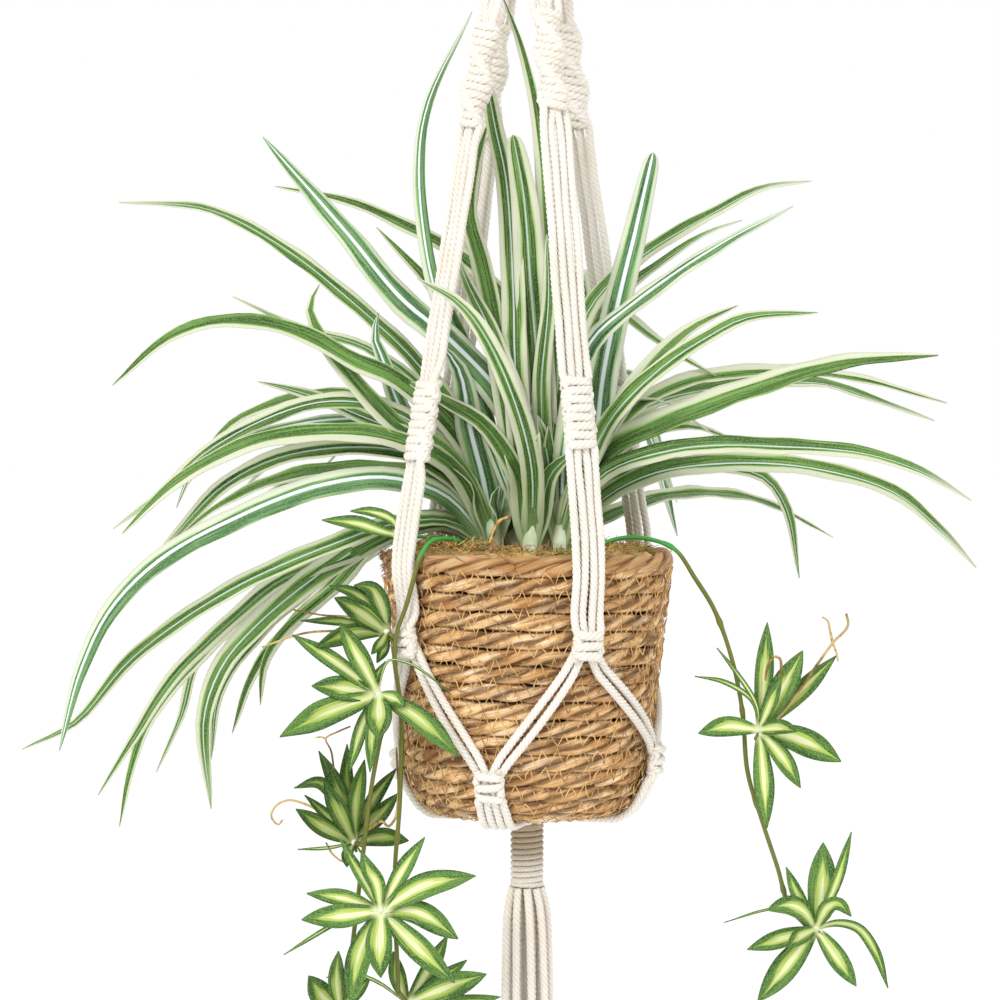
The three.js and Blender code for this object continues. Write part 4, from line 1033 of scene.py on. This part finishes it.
def leaf_finish(name, dark, light, lime, cream, line, line_width, lined_share, roughness):
    """A striped leaf side: its greens, its cream margins and the pale line that runs along the
    middle of a share of the leaves."""
    finish, tree, shader = new_finish(name, roughness=roughness, Specular_IOR_Level=0.16)
    stripes = use_effect(tree, leaf_stripes)
    grit = rise(tree, speckle(tree, 1500.0, 1.0), 0.45, 0.65)
    narrow = calc(tree, "FRACT", times(tree, stripes["Tone"], 7.3))
    bright = calc(tree, "FRACT", times(tree, stripes["Tone"], 17.1))
    green = blend(tree, rise(tree, stripes["Streaks"], 0.44, 0.62), dark, light)
    green = blend(tree, times(tree, bright, 0.4), green, light)
    green = blend(tree, times(tree, rise(tree, stripes["Fine"], 0.50, 0.64), 0.5), green, lime)
    green = blend(tree, times(tree, grit, 0.28), green, lime)
    soft = calc(tree, "MULTIPLY_ADD", stripes["Fine"], 0.20, -0.10)
    soft = calc(tree, "MULTIPLY_ADD", stripes["Streaks"], 0.30, calc(tree, "ADD", soft, -0.15))
    edge = calc(tree, "ADD", stripes["Across"], calc(tree, "MULTIPLY_ADD", narrow, 0.26, soft))
    threads = times(tree, rise(tree, stripes["Fine"], 0.42, 0.66), 0.45)
    cream = blend(tree, threads, cream, tint(194, 204, 164))
    colour = blend(tree, rise(tree, edge, 0.68, 0.76), green, lime)
    colour = blend(tree, rise(tree, edge, 0.74, 0.88), colour, cream)
    centre = calc(tree, "MULTIPLY_ADD", soft, 0.3, stripes["Middle"])
    lined = rise(tree, stripes["Tone"], lined_share, lined_share - 0.01)
    lined = times(tree, lined, rise(tree, centre, line_width + 0.07, line_width))
    colour = blend(tree, lined, colour, line)
    base = times(tree, rise(tree, attribute(tree, "run"), 0.036, 0.004), 0.6)
    colour = blend(tree, base, colour, tint(176, 196, 146))
    # Painted shade: darker towards the roots, deep in the middle of the plant
    deep = times(tree, rise(tree, attribute(tree, "run"), 0.11, 0.03), 0.45)
    colour = blend(tree, deep, colour, tint(150, 176, 118), "MULTIPLY")
    near_tip = rise(tree, stripes["Share"], 0.85, 0.99)
    faded = times(tree, near_tip, rise(tree, stripes["Tone"], 0.40, 0.30))
    colour = blend(tree, times(tree, faded, 0.65), colour, cream)
    feed(tree, shader.inputs["Base Color"], colour)
    emboss(tree, shader, calc(tree, "ADD", stripes["Fine"], stripes["Streaks"]), 0.0005, 0.35)
    return finish


leaf_top = leaf_finish(
    "leaf_upper_side", dark=tint(8, 42, 14), light=tint(88, 130, 60), lime=tint(152, 182, 106),
    cream=tint(203, 205, 182), line=tint(196, 214, 204), line_width=0.03, lined_share=0.55, roughness=0.45)
leaf_under = leaf_finish(
    "leaf_under_side", dark=tint(20, 66, 40), light=tint(94, 140, 86), lime=tint(160, 190, 134),
    cream=tint(203, 208, 188), line=tint(222, 232, 234), line_width=0.10, lined_share=1.02, roughness=0.5)

mesh = bmesh.new()
for crown, tip_depth, width, facing, *points in LEAVES:
    root = (*CROWNS[crown], 0)
    places = [RIM + Vector(root) / 1000, *seen_path(root, tip_depth, points)]
    shape, step = (blunt_width, 0.0015) if points[-1] in BLUNT_TIPS else (leaf_width, 0.008)
    grow_blade(mesh, places, width / 1000, facing, shape, step, curl=chance.uniform(-12, 12))
# Short young leaves that stand in a ring on each crown, and then the leaves at the back
for x, y in CROWNS.values():
    root = RIM + Vector((x, y, 0)) / 1000
    for k in range(5):
        way, tall = 1.257 * k + chance.uniform(-0.5, 0.5), chance.uniform(0.035, 0.085)
        out = Vector((math.cos(way), math.sin(way), 0))
        places = [root]
        for away, share in ((0.006, 0.35), (0.012, 0.75), (chance.uniform(0.018, 0.028), 1)):
            places.append(root + out * away + Vector((0, 0, share * tall)))
        width, facing = chance.uniform(0.008, 0.011), chance.uniform(20, 70)
        grow_blade(mesh, places, width, facing, leaf_width, step=0.006)
for k, way in enumerate(BACK_LEAVES):
    spread = (k * 0.618) % 1
    reach = 0.1 + 0.095 * spread
    top = 0.001 * max(85, 200 - 4 * abs(way - 88))
    root = RIM + Vector((*CROWNS["back"], 0)) / 1000
    heading = Vector((math.cos(math.radians(way)), math.sin(math.radians(way)), 0))
    places = [root]
    for share, height in ((0.24, 0.7 * top), (0.6, top), (1, top * (0.75 - 0.8 * spread))):
        places.append(root + heading * reach * share + Vector((0, 0, height)))
    grow_blade(mesh, places, 0.008 + 0.002 * spread, 0, leaf_width, curl=chance.uniform(-10, 10))
leaves = finish_piece("leaves", mesh, leaf_top, leaf_under, closed=False)
thicken(leaves)
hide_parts("foliage")

# Crowns: the pale, fleshy bases from which the leaves part, seated in the soil.
sheath, tree, shader = new_finish("pale_sheath", roughness=0.45, Subsurface_Weight=0.1)
patches = rise(tree, speckle(tree, 130.0), 0.35, 0.7)
colour = blend(tree, patches, tint(228, 232, 206), tint(200, 214, 172))
upper = rise(tree, height_in(tree), RIM.z + 0.006, RIM.z + 0.030)
colour = blend(tree, upper, colour, tint(150, 184, 118))
feed(tree, shader.inputs["Base Color"], colour)
emboss(tree, shader, speckle(tree, 300.0), 0.0004, 0.4)
mesh = bmesh.new()
for x, y in CROWNS.values():
    root = RIM + Vector((x, y, 0)) / 1000
    path = smooth_path([root + Vector((0, 0, z)) for z in (-0.030, -0.010, 0.006, 0.020)], 0.002)
    girth = np.interp(path[:, 2] - RIM.z, (-0.03, -0.006, 0.006, 0.016, 0.02),
                      (0.0055, 0.0055, 0.0062, 0.0045, 0.001))
    lay_cord(mesh, path, girth, strands=5, turn=1.0, groove=0.25)
crowns = finish_piece("crowns", mesh, sheath)

# Plantlets and trailing stems, in the same way as the leaves. A plantlet: its heart, where it grows
# from a stem, and its leaves, each with how far back the tip is, the width and the points passed.
PLANTLETS = {
    "upper_left": [[-79.5, -54, -46.5], [[-74.3, -57, -50]], [
        [-42, 7, [-95, -26], [-112, -20]],
        [-62, 13, [-92, -37], [-109, -27]],
        [-46, 10, [-82, -33], [-88, -22], [-98, -20]],
        [-44, 5, [-103, -41], [-128, -40]],
        [-64, 10, [-98, -47], [-120, -55]],
        [-72, 6, [-82, -52], [-88, -59]],
        [-50, 6, [-81, -56], [-85, -64]],
    ]],
    "middle_left": [[-84, -66, -82], [[-72, -56, -84], [-79.5, -59, -90]], [
        [-60, 9, [-108, -64], [-133, -48]],
        [-74, 11, [-95, -61], [-106, -41]],
        [-66, 14, [-103, -79], [-122, -77]],
        [-78, 15, [-112, -92], [-140, -106]],
        [-66, 7, [-92, -96], [-101, -126]],
        [-76, 7, [-87, -98], [-89, -126]],
        [-90, 14, [-84, -95], [-84, -107]],
        [-82, 12, [-62, -95], [-39, -117]],
        [-74, 8, [-76, -84], [-69, -89]],
        [-64, 4, [-85, -72], [-80, -63]],
    ]],
    "lower_left": [[-98, -48, -166], [[-92.3, -54, -168]], [
        [-58, 9, [-97, -143], [-92, -119]],
        [-50, 10, [-105, -143], [-112, -122]],
        [-62, 10, [-107, -148], [-115, -132]],
        [-58, 10, [-116, -157], [-131, -147]],
        [-44, 6, [-112, -152], [-126, -139]],
        [-38, 8, [-108, -141], [-118, -132], [-132, -135]],
        [-34, 9, [-106, -138], [-118, -114]],
        [-28, 8, [-102, -138], [-102, -110]],
        [-40, 9, [-85, -152], [-73, -138]],
        [-32, 8, [-86, -140], [-74, -124]],
        [-42, 10, [-82, -163], [-67, -165]],
        [-56, 6, [-102, -173], [-102, -180]],
    ]],
    "star": [[-83, -64, -205], [[-74.5, -54.7, -201]], [
        [-66, 6, [-93, -187], [-106, -164]],
        [-72, 9, [-85, -190], [-90, -181], [-94, -171]],
        [-68, 9, [-71, -183], [-58, -163]],
        [-74, 14, [-58, -191], [-29, -185]],
        [-68, 13, [-62, -206], [-39, -221]],
        [-76, 13, [-64, -224], [-41, -246]],
        [-86, 14, [-84, -224], [-83, -243]],
        [-74, 13, [-95, -230], [-100, -258]],
        [-72, 13, [-105, -208], [-128, -210]],
        [-62, 9, [-103, -198], [-125, -195]],
    ]],
    "bottom": [[-68, -50, -258], [[-73, -54, -251]], [
        [-36, 9, [-54, -236], [-45, -219]],
        [-44, 8, [-50, -245], [-34, -233]],
        [-60, 14, [-46, -249], [-23, -241]],
        [-54, 9, [-40, -258], [-15, -254]],
        [-40, 9, [-73, -244], [-76, -228]],
        [-60, 12, [-58, -275], [-48, -292]],
        [-58, 12, [-77, -278], [-84, -295]],
    ]],
    "bottom_left": [[-106, -46, -262], [[-103, -42, -255]], [
        [-80, 9, [-108, -244], [-107, -228]],
        [-54, 13, [-116, -254], [-124, -242]],
        [-40, 7, [-97, -252], [-89, -243]],
        [-50, 12, [-125, -268], [-143, -276]],
        [-56, 12, [-113, -282], [-119, -301]],
        [-44, 11, [-98, -280], [-93, -298]],
    ]],
    "upper_right": [[131.5, -28, -102], [[122.9, -24, -100]], [
        [-8, 10, [134, -72], [136, -41]],
        [-24, 14, [145, -78], [156, -57]],
        [-14, 10, [153, -82], [175, -60]],
        [-42, 7, [138, -86], [144, -72]],
        [-26, 15, [155, -108], [178, -120]],
        [-36, 10, [144, -117], [155, -135]],
        [-30, 11, [134, -130], [136, -158]],
        [-36, 11, [114, -100], [97, -104]],
        [-52, 10, [142, -101], [153, -103]],
    ]],
    "lower_right": [[164, -20, -215], [[158, -20, -213]], [
        [-10, 15, [167, -190], [168, -166]],
        [-26, 7, [154, -197], [147, -180]],
        [-16, 6, [176, -187], [184, -160]],
        [-42, 9, [171, -203], [177, -201.5], [184, -208]],
        [-34, 11, [156, -205], [148.5, -202], [136, -204.5]],
        [-30, 10, [144, -221], [125, -227]],
        [-48, 9, [156, -219], [148, -226]],
        [-22, 14, [150, -233], [131, -257]],
        [-30, 11, [174, -229], [187, -248]],
        [-12, 6, [176, -212], [188, -215], [197.5, -228], [205, -249]],
    ]],
}
# Trailing stems: the points x, y and z that each passes
RUNNERS = {
    "left": [
        [-33, -33, -22], [-34, -34, -2], [-37, -37, 4], [-46, -46, 6.5], [-55, -54, 4.5], [-60, -59, -3],
        [-63.5, -60.5, -14], [-68.5, -59, -32], [-74, -57, -48], [-75, -57, -62], [-71.5, -56, -90],
        [-72, -56, -142], [-75, -55, -185], [-73, -54, -251],
    ],
    "left_branch": [
        [-79.5, -59, -90], [-83, -56, -106], [-89, -54, -140], [-92, -54, -165], [-95, -53, -190],
        [-98, -50, -216], [-103, -42, -255],
    ],
    "right": [
        [36, -14, -22], [42, -15, 2], [56, -17, 7], [72, -20, 5.5], [84, -22, 0], [95, -24, -16],
        [106, -25, -34], [116, -25, -62], [122, -24, -92], [125, -23, -126], [133, -22, -153],
        [142, -21, -180], [149, -20, -203], [158, -20, -213],
    ],
}


def plantlet_width(t):
    """The same for a plantlet's leaf: narrow at its foot and widest about the middle."""
    swell = 0.25 + 0.75 * max(0, math.sin(math.pi * min(1, t / 1.2) ** 1.1)) ** 0.85
    return 1.15 * swell * max(0, 1 - t**4) ** 0.8


# Trailing stems: thin round stems, green where they leave the soil, olive and brown further down.
stem_finish, tree, shader = new_finish("trailing_stem", roughness=0.42)
colour = blend(tree, speckle(tree, 40.0, 3.0), tint(78, 88, 16), tint(110, 112, 30))
over_rim = rise(tree, height_in(tree), RIM.z - 0.004, RIM.z + 0.003)
colour = blend(tree, over_rim, colour, tint(58, 150, 58))
colour = blend(tree, rise(tree, speckle(tree, 210.0), 0.62, 0.78), colour, tint(104, 84, 34))
feed(tree, shader.inputs["Base Color"], colour)
emboss(tree, shader, speckle(tree, 400.0), 0.0003, 0.4)
STEM_RADIUS = 0.0013
STEM_STEP = 0.003
KNUCKLES = 0.052  # from one knuckle of a stem to the next
for stem_name, points in RUNNERS.items():
    path = smooth_path([seen(*point) for point in points], STEM_STEP)
    run = np.arange(len(path)) * STEM_STEP
    knuckle = np.clip(1 - np.abs((run + 0.013) % KNUCKLES - KNUCKLES / 2) / 0.004, 0, 1)
    mesh = bmesh.new()
    lay_cord(mesh, path, STEM_RADIUS + 0.0006 * knuckle, turn=0.4, groove=0.04)
    stem = finish_piece("stem_" + stem_name, mesh, stem_finish)
    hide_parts("runner_" + stem_name)

# Plantlets: young tufts of short pointed leaves, dark green at the margins and cream along the
# middle, each round a small pale heart that sits on a trailing stem. How much painted shade some get:
PAINTED_SHADE_BY_TUFT = {"upper_left": 0.75, "lower_left": 0.8, "bottom_left": 0.4, "middle_left": 0.25}
PAINTED_SHADE_OF_OTHERS = 0.06  # for all others
HEART_RADIUS = 0.0020
STALK_RADIUS = 0.0014
ROOT_RADIUS = 0.0007


def young_finish(name, dark, light, lime, cream, roughness):
    """A young leaf's side: cream along the middle, lime beside it and gritty green outside."""
    finish, tree, shader = new_finish(name, roughness=roughness, Specular_IOR_Level=0.18)
    stripes = use_effect(tree, leaf_stripes, Streak_Count=4.0)
    grit = rise(tree, speckle(tree, 1800.0, 1.0), 0.46, 0.62)
    green = blend(tree, rise(tree, stripes["Streaks"], 0.35, 0.65), dark, light)
    green = blend(tree, times(tree, grit, 0.5), green, tint(146, 178, 112))
    soft = calc(tree, "MULTIPLY_ADD", stripes["Fine"], 0.8, -0.4)
    soft = calc(tree, "MULTIPLY_ADD", stripes["Streaks"], 0.7, calc(tree, "ADD", soft, -0.35))
    near_tip = times(tree, rise(tree, stripes["Share"], 0.45, 1.0), 0.6)
    place = calc(tree, "ADD", calc(tree, "ADD", stripes["Middle"], soft), near_tip)
    threads = times(tree, rise(tree, stripes["Fine"], 0.48, 0.70), 0.45)
    lime = blend(tree, threads, lime, cream)
    colour = blend(tree, rise(tree, place, 0.64, 0.42), green, lime)
    colour = blend(tree, rise(tree, place, 0.30, 0.10), colour, cream)
    colour = blend(tree, rise(tree, stripes["Share"], 0.16, 0.02), colour, cream)
    # Painted shade: the tone mark darkens the tufts that hang in shade
    painted_shade = times(tree, stripes["Tone"], 0.75)
    colour = blend(tree, painted_shade, colour, tint(120, 138, 60), "MULTIPLY")
    feed(tree, shader.inputs["Base Color"], colour)
    emboss(tree, shader, calc(tree, "ADD", stripes["Fine"], stripes["Streaks"]), 0.0005, 0.4)
    return finish


young_top = young_finish("young_leaf_upper", dark=tint(34, 74, 24), light=tint(84, 122, 50),
                         lime=tint(172, 192, 92), cream=tint(226, 228, 182), roughness=0.62)
young_under = young_finish("young_leaf_under", dark=tint(72, 112, 52), light=tint(132, 164, 90),
                           lime=tint(186, 202, 116), cream=tint(222, 226, 188), roughness=0.65)
for plantlet_name, (heart, seats, blades) in PLANTLETS.items():
    middle = seen(*heart)
    mesh = bmesh.new()
    for tip_depth, width, *points in blades:
        places = [middle, *seen_path(heart, tip_depth, points)]
        # How much painted shade each leaf gets, carried as its tone mark
        painted_shade = PAINTED_SHADE_BY_TUFT.get(plantlet_name, PAINTED_SHADE_OF_OTHERS) + chance.uniform(-0.06, 0.12)
        grow_blade(mesh, places, width / 1000, 75, plantlet_width, step=0.0022, gutter=0.22,
                   curl=chance.uniform(-35, 35), tone=painted_shade)
    tuft = finish_piece("tuft_" + plantlet_name, mesh, young_top, young_under, closed=False)
    thicken(tuft)
    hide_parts("plantlet_" + plantlet_name)
    mesh = bmesh.new()
    mesh.loops.layers.uv.new("UVMap")
    bmesh.ops.create_icosphere(mesh, subdivisions=2, radius=HEART_RADIUS,
                               matrix=Matrix.Translation(middle), calc_uvs=True)
    for face in mesh.faces:
        face.material_index = 1
    for seat in seats:
        stalk = smooth_path([middle, seen(*seat)], STEM_STEP)
        lay_cord(mesh, stalk, STALK_RADIUS, turn=0.4, groove=0.04)
    # Five short roots hang below the heart
    for k in range(5):
        end = middle + Vector((chance.uniform(-1, 1), chance.uniform(-0.6, 0.6), -0.9)) * 0.006
        path = smooth_path([middle, end], 0.002)
        lay_cord(mesh, path, ROOT_RADIUS, strands=3, turn=1.0, groove=0.1)
    knob = finish_piece("heart_" + plantlet_name, mesh, stem_finish, sheath)

# Thin growths: dried tendrils and slender leaves that stand off the plantlets, and a young
# shoot beside the front left leg. Each row gives where it starts, how far back its tip is, its
# width and the points passed.
TENDRILS = [
    [[-79.5, -54, -46.5], -44, 1.1, [-100, -46], [-125, -47], [-150, -55]],
    [[-79.5, -54, -46.5], -40, 1.0, [-90, -41], [-99, -38], [-115, -37], [-132, -34]],
    [[-98, -48, -166], -40, 1.0, [-108, -135], [-111, -114], [-114, -107], [-107, -103], [-100, -100]],
    [[-114, -41, -107], -39, 0.9, [-117, -106], [-120, -106.5]],
    [[-98, -48, -166], -36, 1.1, [-112, -152], [-124, -145], [-135, -142], [-142, -145], [-145, -151],
     [-141, -156], [-138.5, -153]],
    [[-92, -48, -160], -50, 1.2, [-82, -154], [-79, -157], [-75, -153], [-73, -140], [-74, -112]],
    [[-98, -48, -166], -44, 1.1, [-103, -177], [-110, -173], [-114, -166]],
    [[131.5, -28, -102], -14, 1.5, [143, -94], [158, -74], [173, -52.7], [181.5, -43], [180.6, -36]],
    [[173, -17, -52.7], -14, 1.2, [171.5, -46], [170, -40], [167, -38]],
    [[173, -17, -52.7], -16, 1.0, [175, -58], [176, -63]],
    [[131.5, -28, -102], -36, 1.5, [134, -95], [139.5, -84.8], [143.4, -71.6], [143, -61.5],
     [139.5, -60.5], [136, -67], [135, -74]],
]
SLENDER_LEAVES = [
    [[-84, -66, -82], -78, 1.4, [-82, -70], [-78, -62.5], [-65, -65], [-52, -74], [-43, -82]],
    [[-98, -48, -166], -40, 2, [-112, -169], [-130, -170]],
    [[-83, -64, -205], -70, 2.5, [-100, -208], [-112, -214], [-138, -230]],
    [[-68, -50, -258], -40, 2, [-84, -246], [-98, -241], [-114, -243]],
    [[131.5, -28, -102], -34, 3, [128, -86], [112, -75], [95, -71.5]],
    [[131.5, -28, -102], -36, 2.8, [130, -88], [118.5, -69.5], [107.5, -55.5]],
    [[164, -20, -215], -14, 1.4, [156, -204], [138, -204], [112, -211.5]],
    [[-71, -27, 8], -30, 8, [-80, 10], [-96, 15], [-116, 17]],
    [[-71, -27, 8], -26, 6, [-76, 17], [-88, 21.5], [-100, 22]],
]
dried, tree, shader = new_finish("dried_tendril", roughness=0.6, Specular_IOR_Level=0.25)
bleached = rise(tree, speckle(tree, 45.0), 0.38, 0.62)
colour = blend(tree, bleached, tint(112, 92, 44), tint(196, 168, 110))
specks = rise(tree, speckle(tree, 500.0), 0.55, 0.75)
feed(tree, shader.inputs["Base Color"], blend(tree, specks, colour, tint(96, 66, 34)))
mesh = bmesh.new()
for start, tip_depth, width, *points in TENDRILS:
    path = smooth_path([seen(*start), *seen_path(start, tip_depth, points)], 0.0018)
    girth = np.linspace(0.75, 0.5, len(path)) * width / 1000
    lay_cord(mesh, path, girth, strands=3, turn=0.4, groove=0.05)
tendrils = finish_piece("tendrils", mesh, dried)

mesh = bmesh.new()
for start, tip_depth, width, *points in SLENDER_LEAVES:
    places = [seen(*start), *seen_path(start, tip_depth, points)]
    # Their tone mark gives them a little painted shade
    grow_blade(mesh, places, width / 1000, 70, plantlet_width, step=0.0035, gutter=0.3, tone=0.15)
slender = finish_piece("slender_leaves", mesh, young_top, young_under, closed=False)
thicken(slender)

mesh = bmesh.new()
places = [RIM + Vector((*CROWNS["left"], 0)) / 1000, seen(-45, -18, 6), seen(-71, -27, 8)]
lay_cord(mesh, smooth_path(places, STEM_STEP), 0.0011, strands=3, turn=0.4, groove=0.05)
shoot = finish_piece("shoot_stem", mesh, stem_finish)

# Where the plant hangs for its picture: a pale floor well below it and soft light all round.
FLOOR_HEIGHT = -1.6
mesh = bmesh.new()
bmesh.ops.create_grid(mesh, x_segments=1, y_segments=1, size=40,
                      matrix=Matrix.Translation((0, 0, FLOOR_HEIGHT)))
paper, tree, shader = new_finish("pale_floor", roughness=1.0, Specular_IOR_Level=0.0)
shader.inputs["Base Color"].default_value = (0.9, 0.9, 0.9, 1)
shader.inputs["Emission Color"].default_value = (1, 1, 1, 1)
shader.inputs["Emission Strength"].default_value = 0.15
data = bpy.data.meshes.new("floor")
mesh.to_mesh(data)
mesh.free()
data.materials.append(paper)
floor = bpy.data.objects.new("floor", data)
bpy.context.collection.objects.link(floor)

world = bpy.data.worlds.new("studio")
bpy.context.scene.world = world
world.use_nodes = True
world.node_tree.nodes["Background"].inputs["Color"].default_value = (1.0, 1.0, 1.0, 1)
world.node_tree.nodes["Background"].inputs["Strength"].default_value = 1.0


def soft_light(name, place, size, power):
    """A square lamp that faces the middle of the plant."""
    lamp = bpy.data.lights.new(name, "AREA")
    lamp.size = size
    lamp.energy = power
    made = bpy.data.objects.new(name, lamp)
    made.location = place
    made.rotation_euler = (Vector((0, 0, -0.5)) - made.location).to_track_quat("-Z", "Y").to_euler()
    made.visible_camera = False
    bpy.context.collection.objects.link(made)


soft_light("key_light", Vector((-1.5, -2.4, 1.3)), 1.4, 60)
soft_light("fill_light", Vector((2.2, -1.6, 0.4)), 1.6, 12)
soft_light("back_light", Vector((0.8, 2.4, 1.6)), 1.6, 18)
bpy.context.scene.view_settings.view_transform = "Standard"
